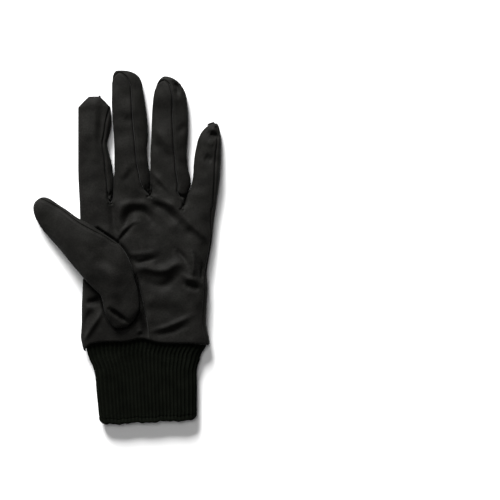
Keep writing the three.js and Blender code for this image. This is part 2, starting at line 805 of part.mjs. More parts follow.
function thumbPoint(along, turn, inset) {
  const start = inset / THUMB_LENGTH;
  const at = lerp(start, 1 - start, along);
  let left = THUMB_WIDTH * curve(THUMB_EDGES, "along", "left", at);
  let right = THUMB_WIDTH * curve(THUMB_EDGES, "along", "right", at);
  const narrow =
    taper(1 - along / THUMB_BASE_ROUND, 2) * taper((along - 1) / THUMB_TIP_ROUND + 1, 2);
  const middle = (left + right) / 2;
  const half = Math.max((right - left) / 2 - inset, 0) * narrow;
  left = middle - half;
  right = middle + half;
  const across = lerp(left, right, (1 - Math.cos(turn)) / 2);
  const place = placed(thumbFrame, across, at * THUMB_LENGTH, 0);
  const full = THUMB_THICKNESS * curve(THUMB_BODY, "along", "full", at);
  const thick = Math.max(full - 2 * inset, 0) * narrow;
  const power = 2 / (Math.sin(turn) > 0 ? THUMB_ROUNDNESS.top : THUMB_ROUNDNESS.bottom);
  const lift = (1 + signedPower(Math.sin(turn), power)) / 2;
  const raised = inset + (full - 2 * inset) * (1 - narrow) * THUMB_END_LIFT;
  place.z = thumbFloor(place.x, place.y) + raised + thick * lift;
  return place;
}

// Closed pouch, the wall in from the thumb's outer face
function thumbPouch(inset) {
  const bodyStart = THUMB_BASE_ROUND;
  const bodyEnd = 1 - THUMB_TIP_ROUND;
  const rows = [
    ...THUMB_BASE_ANGLES.map((angle) => bodyStart * (1 - Math.cos(degToRad(angle)))),
    ...Array.from({ length: THUMB_ROWS + 1 }, (_, i) =>
      lerp(bodyStart, bodyEnd, i / THUMB_ROWS),
    ),
    ...THUMB_TIP_ANGLES.map((angle) => lerp(bodyEnd, 1, Math.sin(degToRad(angle)))),
  ];
  const points = rows.flatMap((along) =>
    Array.from({ length: THUMB_SIDES }, (_, i) =>
      thumbPoint(along, (2 * Math.PI * i) / THUMB_SIDES, inset),
    ),
  );
  const base = points.push(thumbPoint(0, 0, inset)) - 1;
  const tip = points.push(thumbPoint(1, 0, inset)) - 1;
  const triangles = [];
  for (let i = 0; i < THUMB_SIDES; i += 1) {
    const next = (i + 1) % THUMB_SIDES;
    triangles.push([base, next, i]);
    const end = (rows.length - 1) * THUMB_SIDES;
    triangles.push([tip, end + i, end + next]);
    for (let row = 0; row < rows.length - 1; row += 1) {
      const near = row * THUMB_SIDES;
      const far = near + THUMB_SIDES;
      const face = [near + i, near + next, far + next, far + i];
      triangles.push(...split(face, points));
    }
  }
  return closedGeometry(points, triangles);
}

// Upright oval through the thumb's hole, between two heights
function holeCutter(bottom, top) {
  const centre = placed(
    thumbFrame,
    THUMB_HOLE.across * THUMB_WIDTH,
    THUMB_HOLE.along * THUMB_LENGTH,
    0,
  );
  const outline = new THREE.Shape(
    Array.from({ length: HOLE_SIDES }, (_, i) => {
      const angle = (2 * Math.PI * i) / HOLE_SIDES;
      return new THREE.Vector2(
        (THUMB_HOLE_WIDTH / 2) * Math.cos(angle),
        (THUMB_HOLE_LENGTH / 2) * Math.sin(angle),
      );
    }),
  );
  const prism = new THREE.ExtrudeGeometry(outline, {
    depth: top - bottom,
    bevelEnabled: false,
  });
  prism.rotateZ(degToRad(THUMB_HOLE.turn));
  prism.translate(centre.x, centre.y, bottom);
  prism.deleteAttribute("normal");
  prism.deleteAttribute("uv");
  return mergeVertices(prism, 1e-4);
}

// The cuff

// Way round the cuff's section, from its index-side edge over the top: share of
// the way across, and the rise between the middle, 0, and the flat faces, 1
function cuffSection(way) {
  const upper = way < 0.5;
  const half = upper ? way * 2 : (1 - way) * 2;
  const height = CUFF_THICKNESS / 2;
  const arc = (Math.PI / 2) * Math.hypot(CUFF_ROLL, height) * Math.SQRT1_2;
  const straight = CUFF_WIDTH - 2 * CUFF_ROLL;
  const turn = arc / (2 * arc + straight);
  const rolled = CUFF_ROLL / CUFF_WIDTH;
  const near = half < 0.5 ? half : 1 - half;
  let share = rolled + ((near - turn) / (1 - 2 * turn)) * (1 - 2 * rolled);
  let rise = 1;
  if (near < turn) {
    const angle = (near / turn) * (Math.PI / 2);
    share = rolled * (1 - Math.cos(angle));
    rise = Math.sin(angle);
  }
  return { share: half < 0.5 ? share : 1 - share, rise: upper ? rise : -rise };
}

function cuffPoint(way, down, inset) {
  const { share, rise } = cuffSection(way);
  const top = hemY(share) + CUFF_TUCK;
  const end = -CUFF_LENGTH - lerp(CUFF_END_SLANT, 0, share);
  const y = lerp(top, end, down);
  const left = y > 0 ? handLeft(y) + cuffRoom : cuffEdge("left", y);
  const right = y > 0 ? handRight(y) - cuffRoom : cuffEdge("right", y);
  // Inside the hem the cuff is pressed flatter than it is outside
  const free = ease((hemY(share) - WALL - y) / (2 * CUFF_TUCK));
  const tucked = HEM_THICKNESS - 2 * cuffRoom;
  const half = lerp(tucked, CUFF_THICKNESS, free) / 2;
  const middle = lerp(HEM_THICKNESS, CUFF_THICKNESS, free) / 2;
  return new THREE.Vector3(
    lerp(left + inset, right - inset, share),
    y,
    middle + (half - inset) * rise,
  );
}

// Ribs run the whole length: every second outer column lies one rib depth in.
// The inner face is plain, with one column to a rib.
function cuffGeometry() {
  const ways = 2 * RIB_COUNT;
  // The first row ends just below the hem
  const tucked = (CUFF_TUCK + CUFF_WALL) / (CUFF_TUCK + CUFF_LENGTH);
  const rows = Array.from({ length: CUFF_ROWS + 1 }, (_, row) =>
    row === 0 ? 0 : lerp(tucked, 1, ((row - 1) / (CUFF_ROWS - 1)) ** CUFF_ROW_SPREAD),
  );
  const points = rows.flatMap((down) => [
    ...Array.from({ length: ways }, (_, i) =>
      cuffPoint(i / ways, down, i % 2 === 0 ? 0 : RIB_DEPTH),
    ),
    ...Array.from({ length: RIB_COUNT }, (_, i) => cuffPoint(i / RIB_COUNT, down, CUFF_WALL)),
  ]);
  const perRow = ways + RIB_COUNT;
  const outer = (row, i) => row * perRow + (i % ways);
  const inner = (row, i) => row * perRow + ways + (i % RIB_COUNT);
  const triangles = [];
  for (let row = 0; row < CUFF_ROWS; row += 1) {
    for (let i = 0; i < ways; i += 1) {
      const a = outer(row, i);
      const b = outer(row, i + 1);
      const c = outer(row + 1, i + 1);
      const d = outer(row + 1, i);
      triangles.push([a, b, c], [a, c, d]);
    }
    for (let i = 0; i < RIB_COUNT; i += 1) {
      const a = inner(row, i);
      const b = inner(row, i + 1);
      const c = inner(row + 1, i + 1);
      const d = inner(row + 1, i);
      triangles.push([a, c, b], [a, d, c]);
    }
  }
  for (let i = 0; i < RIB_COUNT; i += 1) {
    for (const [row, flip] of [[0, false], [CUFF_ROWS, true]]) {
      const rim = [
        [outer(row, 2 * i), inner(row, i), outer(row, 2 * i + 1)],
        [outer(row, 2 * i + 1), inner(row, i), inner(row, i + 1)],
        [outer(row, 2 * i + 1), inner(row, i + 1), outer(row, 2 * i + 2)],
      ];
      for (const [a, b, c] of rim) triangles.push(flip ? [a, c, b] : [a, b, c]);
    }
  }
  return closedGeometry(points, triangles);
}

// Cutting with closed bodies

const wasm = await Module();
wasm.setup();

function toSolid(geometry) {
  const merged = mergeVertices(geometry, 1e-4);
  return new wasm.Manifold(
    new wasm.Mesh({
      numProp: 3,
      vertProperties: Float32Array.from(merged.attributes.position.array),
      triVerts: Uint32Array.from(merged.index.array),
    }),
  );
}

function fromSolid(solid) {
  const mesh = solid.getMesh();
  const geometry = new THREE.BufferGeometry();
  const count = mesh.vertProperties.length / mesh.numProp;
  const positions = new Float32Array(count * 3);
  for (let i = 0; i < count; i += 1) {
    for (let k = 0; k < 3; k += 1) {
      positions[3 * i + k] = mesh.vertProperties[mesh.numProp * i + k];
    }
  }
  geometry.setAttribute("position", new THREE.BufferAttribute(positions, 3));
  geometry.setIndex(Array.from(mesh.triVerts));
  return geometry;
}

const middleHeight = HAND_THICKNESS / 2;
const sewnHeight = HAND_THICKNESS + 2 * THUMB_LIFT + WALL;
const palmGeometry = fromSolid(
  toSolid(palmCloth().geometry()).subtract(toSolid(holeCutter(middleHeight, sewnHeight))),
);
const thumbGeometry = fromSolid(
  toSolid(thumbPouch(0))
    .subtract(toSolid(thumbPouch(WALL)))
    .subtract(toSolid(holeCutter(middleHeight, sewnHeight))),
);

// The pieces

const knit = new THREE.MeshStandardMaterial({ color: "#1d1e22", roughness: 0.72 });
const strip = new THREE.MeshStandardMaterial({ color: "#1b1c20", roughness: 0.74 });
const ribbed = new THREE.MeshStandardMaterial({ color: "#181a1a", roughness: 0.88 });
for (const material of [knit, strip, ribbed]) material.metalness = 0;

const pieces = [
  { name: "palm", geometry: palmGeometry, material: knit },
  { name: "back", geometry: backCloth().geometry(), material: knit },
  ...FINGERS.slice(1).map(({ name }, f) => ({
    name: `fourchette_${FINGERS[f].name}_${name}`,
    geometry: stripCloth(f).geometry(),
    material: strip,
  })),
  { name: "thumb", geometry: thumbGeometry, material: knit },
  { name: "cuff", geometry: cuffGeometry(), material: ribbed },
];

const glove = new THREE.Group();
glove.name = "glove_liner";
for (const { name, geometry, material } of pieces) {
  geometry.computeVertexNormals();
  const mesh = new THREE.Mesh(geometry, material);
  mesh.name = name;
  glove.add(mesh);
}
const box = new THREE.Box3().setFromObject(glove);
const middle = box.getCenter(new THREE.Vector3());
glove.position.set(-middle.x, -middle.y, -box.min.z);

export default glove;
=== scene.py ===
# %% [markdown]
# # A knitted glove liner, lying palm up
#
# A liner is a thin glove of stretch knit. Its hand is one cloth folded along
# the index finger, with narrow side strips, the fourchettes, between the
# fingers. The thumb is a pouch sewn on to the palm, and a ribbed cuff is sewn
# inside the hem. Black cloth shows its shape by folds, seams and sheen alone,
# so this lesson builds every fold as real geometry and keeps the finish plain.

import math

import bmesh
import bpy
import numpy as np
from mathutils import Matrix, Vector, kdtree


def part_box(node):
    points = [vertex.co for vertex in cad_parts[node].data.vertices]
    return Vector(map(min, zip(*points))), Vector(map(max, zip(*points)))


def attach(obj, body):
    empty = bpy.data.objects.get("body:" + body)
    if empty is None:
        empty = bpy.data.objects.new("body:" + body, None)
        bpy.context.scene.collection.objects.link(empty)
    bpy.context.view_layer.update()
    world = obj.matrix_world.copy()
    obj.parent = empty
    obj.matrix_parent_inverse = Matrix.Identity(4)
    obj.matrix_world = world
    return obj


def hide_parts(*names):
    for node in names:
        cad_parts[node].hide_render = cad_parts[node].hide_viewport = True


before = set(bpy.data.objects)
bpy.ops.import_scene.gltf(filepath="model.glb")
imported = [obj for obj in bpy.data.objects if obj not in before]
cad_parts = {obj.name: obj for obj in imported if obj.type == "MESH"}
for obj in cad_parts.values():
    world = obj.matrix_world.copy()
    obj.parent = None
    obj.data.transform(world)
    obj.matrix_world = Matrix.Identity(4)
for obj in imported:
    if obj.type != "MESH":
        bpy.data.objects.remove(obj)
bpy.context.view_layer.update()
print("frame", sorted(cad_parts))

# %% [markdown]
# ## Tools of the pattern maker
#
# A paper pattern is a few measured widths joined by smooth lines. The same
# idea works here: short tables of widths, read through a smooth curve. Tables
# could also be Bezier curve objects, but rows of numbers are easier to check
# against a ruler. All lengths are millimetres until a mesh is made.

# %% Smooth curves, steps and rounded ends
MM = 0.001


def table(names, *rows):
    """Columns of a table by their names."""
    return {name: np.array(column) for name, column in zip(names.split(), zip(*rows))}


def records(names, *rows):
    """Rows of a table, each with the names of its columns."""
    return [dict(zip(names.split(), row)) for row in rows]


def curve(rows, key, column, at):
    """Smooth curve through one column of a table, read at values of its key."""
    keys, values = rows[key], rows[column]
    ends = np.arange(len(keys))
    before, after = np.maximum(ends - 1, 0), np.minimum(ends + 1, len(keys) - 1)
    slopes = (values[after] - values[before]) / (keys[after] - keys[before])
    x = np.clip(at, keys[0], keys[-1])
    i = np.clip(np.searchsorted(keys, x) - 1, 0, len(keys) - 2)
    span = keys[i + 1] - keys[i]
    t = (x - keys[i]) / span
    s = t * t * (3 - 2 * t)
    bend = t * (1 - t) * span * ((1 - t) * slopes[i] - t * slopes[i + 1])
    return values[i] * (1 - s) + values[i + 1] * s + bend


def lerp(a, b, t):
    """Straight line from a to b."""
    return a + (b - a) * t


def ease(t):
    """Eased step from 0 to 1."""
    s = np.clip(t, 0, 1)
    return s * s * (3 - 2 * s)


def roll(t):
    """Quarter circle: 0 at the edge, 1 one roll further in and beyond."""
    return np.sqrt(1 - (1 - np.clip(t, 0, 1)) ** 2)


def taper(t, exponent):
    """Rounded end: 1 where it starts, 0 at the very end."""
    return (1 - np.clip(t, 0, 1) ** exponent) ** (1 / exponent)


def signed_power(value, power):
    """Power that keeps the sign, for sections between an oval and a box."""
    return np.sign(value) * np.abs(value) ** power


print("a fifth of the way round a rolled edge it has risen", round(float(roll(0.2)), 2))

# %% [markdown]
# ## The outline of the hand
#
# These are the sizes of an adult medium liner, as it lies. An outline could be
# drawn by hand with a pen tool, but the widths at a few heights are what a
# glove maker measures, and they can be changed one by one. The frame holds the
# same glove in plain solids, so the two must agree: once the fingers are drawn,
# the drawing is slid on to the frame.

# %% Sizes of the hand
PALM_WIDTH = 94.0
PALM_LENGTH = 104.0
HAND_THICKNESS = 12.5
FINGER_THICKNESS = 10.8
TIP_THICKNESS = 9.2
EDGE_ROLL = 11.0
HEM_THICKNESS = 12.0
HEM_ROLL = 9.0
HEM_SPREAD = 8.0
FORK_WEB = 1.1
ROOT_BLEND = 0.15
FORK_BLEND = 0.09

CUFF_WIDTH = 73.0
CUFF_LENGTH = 54.0
CUFF_END_SLANT = 4.0
CUFF_THICKNESS = 9.6
CUFF_ROLL = 9.0
CUFF_TUCK = 4.0
CUFF_ROOM = 1.9

# Fingers are thinner than the palm: where the cloth begins to thin, and over what reach
THIN_FROM, THIN_REACH = 0.55, 0.4

HAND_EDGES = table(
    "up left right",
    (0.05, -0.494, 0.486),
    (0.145, -0.487, 0.467),
    (0.27, -0.486, 0.471),
    (0.39, -0.479, 0.479),
    (0.5, -0.479, 0.471),
    (0.6, -0.486, 0.486),
    (0.72, -0.494, 0.509),
    (0.85, -0.498, 0.525),
    (1.0, -0.503, 0.55),
)
CUFF_EDGES = table(
    "down left right",
    (-0.1, -0.605, 0.609),
    (0.0, -0.595, 0.607),
    (0.05, -0.586, 0.588),
    (0.12, -0.572, 0.556),
    (0.2, -0.552, 0.542),
    (0.28, -0.523, 0.523),
    (0.36, -0.503, 0.512),
    (0.44, -0.493, 0.512),
    (0.6, -0.484, 0.512),
    (0.76, -0.474, 0.512),
    (0.93, -0.463, 0.512),
    (1.1, -0.45, 0.5),
)
HEM_LINE = table(
    "share up",
    (0.0, -0.042),
    (0.08, 0.01),
    (0.35, 0.024),
    (0.48, 0.042),
    (0.6, 0.016),
    (0.85, 0.008),
    (1.0, 0.0),
)
# Distance of the little side's seam from the edge of the hand, as it lies
OUTER_SEAM = table(
    "up inset",
    (-0.02, 2.0),
    (0.18, 2.0),
    (0.4, 1.9),
    (0.5, 0.9),
    (0.6, 0.6),
    (0.74, 0.8),
    (0.85, 1.9),
    (0.95, 3.2),
)
ROOTS = table(
    "share up",
    (0.0, 0.983),
    (0.2285, 0.977),
    (0.51, 1.03),
    (0.753, 0.934),
    (1.0, 0.921),
)


def hem_y(share):
    return PALM_LENGTH * curve(HEM_LINE, "share", "up", share)


def root_y(share):
    return PALM_LENGTH * np.interp(share, ROOTS["share"], ROOTS["up"])


def cuff_edge(side, y):
    return CUFF_WIDTH * curve(CUFF_EDGES, "down", side, -y / CUFF_LENGTH)


def hand_edge(side, y):
    outward = 1 if side == "right" else -1
    at_hem = cuff_edge(side, y) + outward * CUFF_ROOM
    above = PALM_WIDTH * curve(HAND_EDGES, "up", side, y / PALM_LENGTH)
    return lerp(at_hem, above, ease(y / HEM_SPREAD))


print("hand", PALM_WIDTH, "x", PALM_LENGTH, "mm, cuff", CUFF_WIDTH, "x", CUFF_LENGTH, "mm")

# %% [markdown]
# ## Folds
#
# A liner that has been worn once and thrown down keeps soft folds. In the
# picture they read as pairs: a lit slope that faces the window and a dark one
# behind it. Each fold here is a stroke, a smooth line with a width and a rise
# at its middle, below zero for a valley. Sculpting by hand would work as well,
# but strokes can be moved one by one while comparing renders.

# %% Strokes of the folded cloth
# Points are millimetres in the frame, the width is half of the stroke's width,
# and a steep stroke is that many times narrower on its left side, seen along it
PALM_FOLDS = records(
    "width rise steep points",
    # the hollow under the middle finger, the bulge below it and the ridge round it
    (3.2, -3.2, 1.0, [(-1.5, 12), (-1, 20), (2, 25.5), (7, 27), (12, 25), (16.5, 19)]),
    (3.4, 1.7, 1.0, [(-7, 17), (-5.5, 27), (0, 33), (7, 34), (14, 32), (20, 26)]),
    (4.5, 0.8, 1.0, [(2, 10), (6, 15), (12, 15.5), (19, 11)]),
    # the long fold from the second fork down to the little side
    (3.2, 2.0, 1.0, [(18, 39.5), (24, 36.5), (30, 32.5), (36, 27), (42, 21), (49, 14)]),
    (3.3, -2.8, 1.0, [(15.5, 33.5), (20, 31), (26, 27.5), (32, 22), (37, 17.5)]),
    (1.8, 1.1, 1.0, [(44, 18), (51, 12), (57, 5.5)]),
    (3.0, -0.8, 1.0, [(41, 14), (47, 9), (53, 3)]),
    # creases that leave the thumb
    (1.2, -1.9, 1.0, [(-7.5, 3), (-2.5, 10), (3.5, 16)]),
    (1.3, 0.9, 1.0, [(-6.5, 8), (-1.8, 14.3), (4, 18.6), (9, 18.8)]),
    (3.0, -2.4, 1.0, [(-12, 33), (-10.5, 24), (-9.8, 16), (-8.5, 9)]),
    # small crease above the middle ridge
    (2.0, 1.0, 1.0, [(0, -4), (7, -4.5), (14, -3.8), (21, -2)]),
    (1.7, -1.5, 1.0, [(3, -7.5), (8, -10.5), (14, -9), (21, -7)]),
    # the middle ridge and the dark slope under it
    (3.2, 2.9, 1.0, [(4, -16), (13, -14.5), (21, -16), (28, -15.5), (34, -12), (41, -11)]),
    (3.0, -1.7, 1.0, [(11, -23), (19, -26.5), (26, -27), (32, -22.5), (39, -17)]),
    (2.2, -1.9, 1.0, [(34, -1), (40, -7), (44.5, -15)]),
    (1.7, 1.9, 1.0, [(46.5, -3), (47.7, -12), (46.4, -21)]),
    (1.6, 1.0, 1.0, [(49.7, -1), (52.5, -7), (54.4, -12)]),
    (2.0, 1.5, 1.0, [(40, -20), (45, -22.5), (51, -23.5)]),
    (2.2, -2.6, 1.0, [(41, -26), (46.5, -28), (52, -29.5)]),
    # pinched cloth at the little side
    (1.4, -2.6, 1.0, [(53.2, -12.5), (53.4, -18), (53, -23)]),
    (0.8, 1.2, 1.0, [(54.3, -15), (54.3, -20)]),
    # lower palm
    (2.0, 1.6, 1.0, [(17, -60), (31, -55.5), (46, -48.5)]),
    (2.0, -1.0, 1.0, [(20, -63.5), (33, -59.5), (44, -55)]),
    (7.0, 0.9, 1.0, [(20, -35), (32, -38), (45, -40)]),
    (1.2, -1.8, 1.0, [(8, -65), (10.5, -61)]),
    (1.2, 0.9, 1.0, [(5.5, -62.5), (9, -59.5), (12.5, -62)]),
    # the right-hand cloth laps over the left along the middle of the lower palm
    (3.0, -6.0, 6.0, [(6.8, -22), (9.0, -32), (11.4, -43), (13.6, -54), (15.6, -67)]),
    (2.6, 0.5, 1.0, [(10.5, -28), (13, -38), (15.8, -50), (17.5, -62)]),
    # left of the thumb
    (2.1, 2.4, 1.0, [(-32, -68), (-26, -57.5), (-18.5, -46)]),
    (3.4, -2.8, 1.0, [(-35, -61), (-29.5, -51), (-23.5, -44)]),
    (2.4, -3.0, 1.0, [(-30, -39.5), (-24, -38.5), (-19, -36)]),
)
FINGER_FOLDS = records(
    "width rise steep points",
    # long soft ridge of the index finger and the hollow beside it
    (2.6, 0.9, 1.0, [(-24, 108), (-24, 86), (-23.5, 64)]),
    (2.4, -1.1, 1.0, [(-19, 104), (-19, 92), (-20, 80)]),
    # slack cloth of the middle finger
    (2.2, -0.6, 1.0, [(4.5, 57), (1, 52), (-3, 47)]),
    (2.6, 0.6, 1.0, [(0.5, 60), (-2.5, 54.5), (-6, 50)]),
    (3.0, -0.6, 1.0, [(-2, 94), (3, 90)]),
    # slack cloth of the ring finger, then the pit and the ridge at its tip
    (3.2, 1.0, 1.0, [(19, 85), (26, 79), (33, 72)]),
    (3.4, -1.3, 1.0, [(18, 77), (24, 71), (31, 62)]),
    (1.8, 1.2, 1.0, [(18, 54), (24, 48), (30, 41)]),
    (2.4, -0.8, 1.0, [(20, 47), (25, 42)]),
    (2.6, -1.0, 1.0, [(42, 89.5), (38.5, 85), (35, 82)]),
    (1.7, -2.8, 1.0, [(32.8, 119), (35.2, 115.5), (35.6, 109.5)]),
    (1.2, 0.9, 1.0, [(31.5, 122.5), (34.5, 120.5), (37, 117)]),
    # pit at the tip of the little finger, and slack cloth below it
    (1.9, -3.0, 1.0, [(59, 82.5), (62, 81), (64.5, 80.5)]),
    (1.3, 0.6, 1.0, [(60.5, 86), (62.8, 84)]),
    (3.2, -1.3, 1.0, [(55, 65.5), (61, 62.5)]),
    (2.6, 0.8, 1.0, [(57, 76), (62, 74)]),
    # loops and tucks of the side strips in the forks
    (0.8, -2.4, 1.0, [(-14.4, 39), (-14.2, 35.5), (-12.9, 33.6), (-11.2, 35), (-10.9, 38.5)]),
    (0.6, -1.6, 1.0, [(-13.3, 37), (-11.6, 40.5)]),
    (0.7, -2.2, 1.0, [(13.0, 44), (13.6, 40.5), (15.4, 38.8), (17.1, 40.5), (17.1, 44), (15.6, 45.4)]),
    (0.6, -1.2, 1.0, [(14.6, 42.4), (15.6, 43.6)]),
    (1.1, -2.0, 1.0, [(36.5, 38.5), (39, 37), (41.8, 37.5)]),
    (0.8, -2.0, 1.0, [(41.9, 36.5), (41.2, 32.5), (39.2, 29.6)]),
)
STROKE_END = 0.3
STROKE_STEPS = 24


def stroke_line(points):
    """Even points along the smooth line through a stroke's points."""
    points = np.array(points, float)
    reach = np.r_[0, np.cumsum(np.hypot(*np.diff(points, axis=0).T))]
    line = {"at": reach, "x": points[:, 0], "y": points[:, 1]}
    at = np.linspace(0, reach[-1], STROKE_STEPS)
    return np.stack([curve(line, "at", "x", at), curve(line, "at", "y", at)], axis=1)


def nearest_on(line, x, y):
    """Distance from a line, share along it of the nearest place, and side (above 0: its left)."""
    best = np.full(x.shape, 1e9)
    share, side = np.zeros(x.shape), np.zeros(x.shape)
    steps = len(line) - 1
    for i in range(steps):
        (ax, ay), (dx, dy) = line[i], line[i + 1] - line[i]
        t = np.clip(((x - ax) * dx + (y - ay) * dy) / (dx * dx + dy * dy), 0, 1)
        away = np.hypot(x - ax - t * dx, y - ay - t * dy)
        closer = away < best
        best = np.where(closer, away, best)
        share = np.where(closer, (i + t) / steps, share)
        side = np.where(closer, dx * (y - ay) - dy * (x - ax), side)
    return best, share, side


def fold_rise(folds, x, y):
    rise = np.zeros(np.shape(x))
    for fold in folds:
        away, share, side = nearest_on(stroke_line(fold["points"]), x, y)
        away = np.where(side > 0, away * fold["steep"], away)
        fading = lerp(STROKE_END, 1, ease(4 * share * (1 - share)))
        rise += fold["rise"] * fading * np.exp(-((away / fold["width"]) ** 2))
    return rise


print(len(PALM_FOLDS), "folds on the palm and", len(FINGER_FOLDS), "on the fingers")

# %% [markdown]
# ## Seams
#
# A glove is sewn inside out and turned, so on the outside a seam is a fine
# valley with a soft roll on both sides. A bump texture could fake the line,
# but it would vanish at the outline, so the cloth really dips. Every cloth
# asks the same function how far it is from the nearest seam, and two cloths
# that share a seam therefore dip alike and meet.

# %% Groove along the seams
SEAM_STEP = 0.15
SEAM_DEPTH = 1.15
SEAM_WIDTH = 0.55
SEAM_SHARPNESS = 1.2
ROLL_RISE = 0.16
ROLL_AWAY = 1.5
ROLL_WIDTH = 0.8
HEM_DIP = 1.3
HEM_DIP_WIDTH = 1.6


class Lines:
    """Points close together along seam lines, to measure distances from them."""

    def __init__(self):
        self.points = []

    def add(self, line):
        line = np.asarray(line, float)
        steps = np.linalg.norm(np.diff(line, axis=0), axis=1)
        reach = np.r_[0, np.cumsum(steps)]
        at = np.linspace(0, reach[-1], max(2, int(reach[-1] / SEAM_STEP)))
        self.points.extend(np.stack([np.interp(at, reach, c) for c in line.T], axis=1).tolist())

    def ready(self):
        self.tree = kdtree.KDTree(len(self.points))
        for i, point in enumerate(self.points):
            self.tree.insert(point, i)
        self.tree.balance()

    def distance(self, points):
        found = np.array([self.tree.find(p)[2] for p in points.reshape(-1, 3)])
        return found.reshape(points.shape[:-1])


def groove(distance):
    """Depth below the smooth cloth: a fine valley with a soft roll beside it."""
    valley = SEAM_DEPTH * np.exp(-((distance / SEAM_WIDTH) ** SEAM_SHARPNESS))
    return valley - ROLL_RISE * np.exp(-(((distance - ROLL_AWAY) / ROLL_WIDTH) ** 2))


print("a seam is", round(float(groove(0.0)), 2), "mm deep")

# %% [markdown]
# ## The hand and the fingers
#
# Both faces of the hand are laid out in columns that run from the hem to the
# roots of the fingers and on into each finger. At a root the section is still
# the flat shape of the hand, and over the first third of the finger it turns
# into a rounded tube, as cloth does when nothing fills it.

# %% Surface of the hand
def hand_thickness(x, y):
    left, right = hand_edge("left", y), hand_edge("right", y)
    share = np.clip((x - left) / (right - left), 0, 1)
    full = lerp(HAND_THICKNESS, FINGER_THICKNESS, ease((y / PALM_LENGTH - THIN_FROM) / THIN_REACH))
    return lerp(HEM_THICKNESS, full, roll((y - hem_y(share)) / HEM_ROLL))


def hand_height(face, x, y):
    """Height of the hand's smooth outer face."""
    edge = np.minimum(x - hand_edge("left", y), hand_edge("right", y) - x)
    rise = roll(edge / EDGE_ROLL)
    middle = hand_thickness(x, y) / 2
    return middle + middle * rise if face == "palm" else middle - middle * rise


def hand_point(face, share, rise):
    """Point of the hand: share of the way across, and rise from the hem to the root."""
    y = lerp(hem_y(share), root_y(share), rise)
    x = lerp(hand_edge("left", y), hand_edge("right", y), share)
    return np.stack([x, y, hand_height(face, x, y)], axis=-1)


print("middle of the palm", hand_point("palm", 0.5, 0.5).round(1))

# %% [markdown]
# ## Sizes of the fingers
#
# No two fingers of a worn liner lie alike. The middle and ring finger have
# rolled over, so that the strip on their right side faces up, while the index
# finger lies on its fold. One tube bent four ways would be quicker, but the
# seams would lie wrong. So each finger has its own edges, as shares of its
# width, and its own turns: the places round its section, in degrees from the
# left edge over the top, at which its cloths meet.

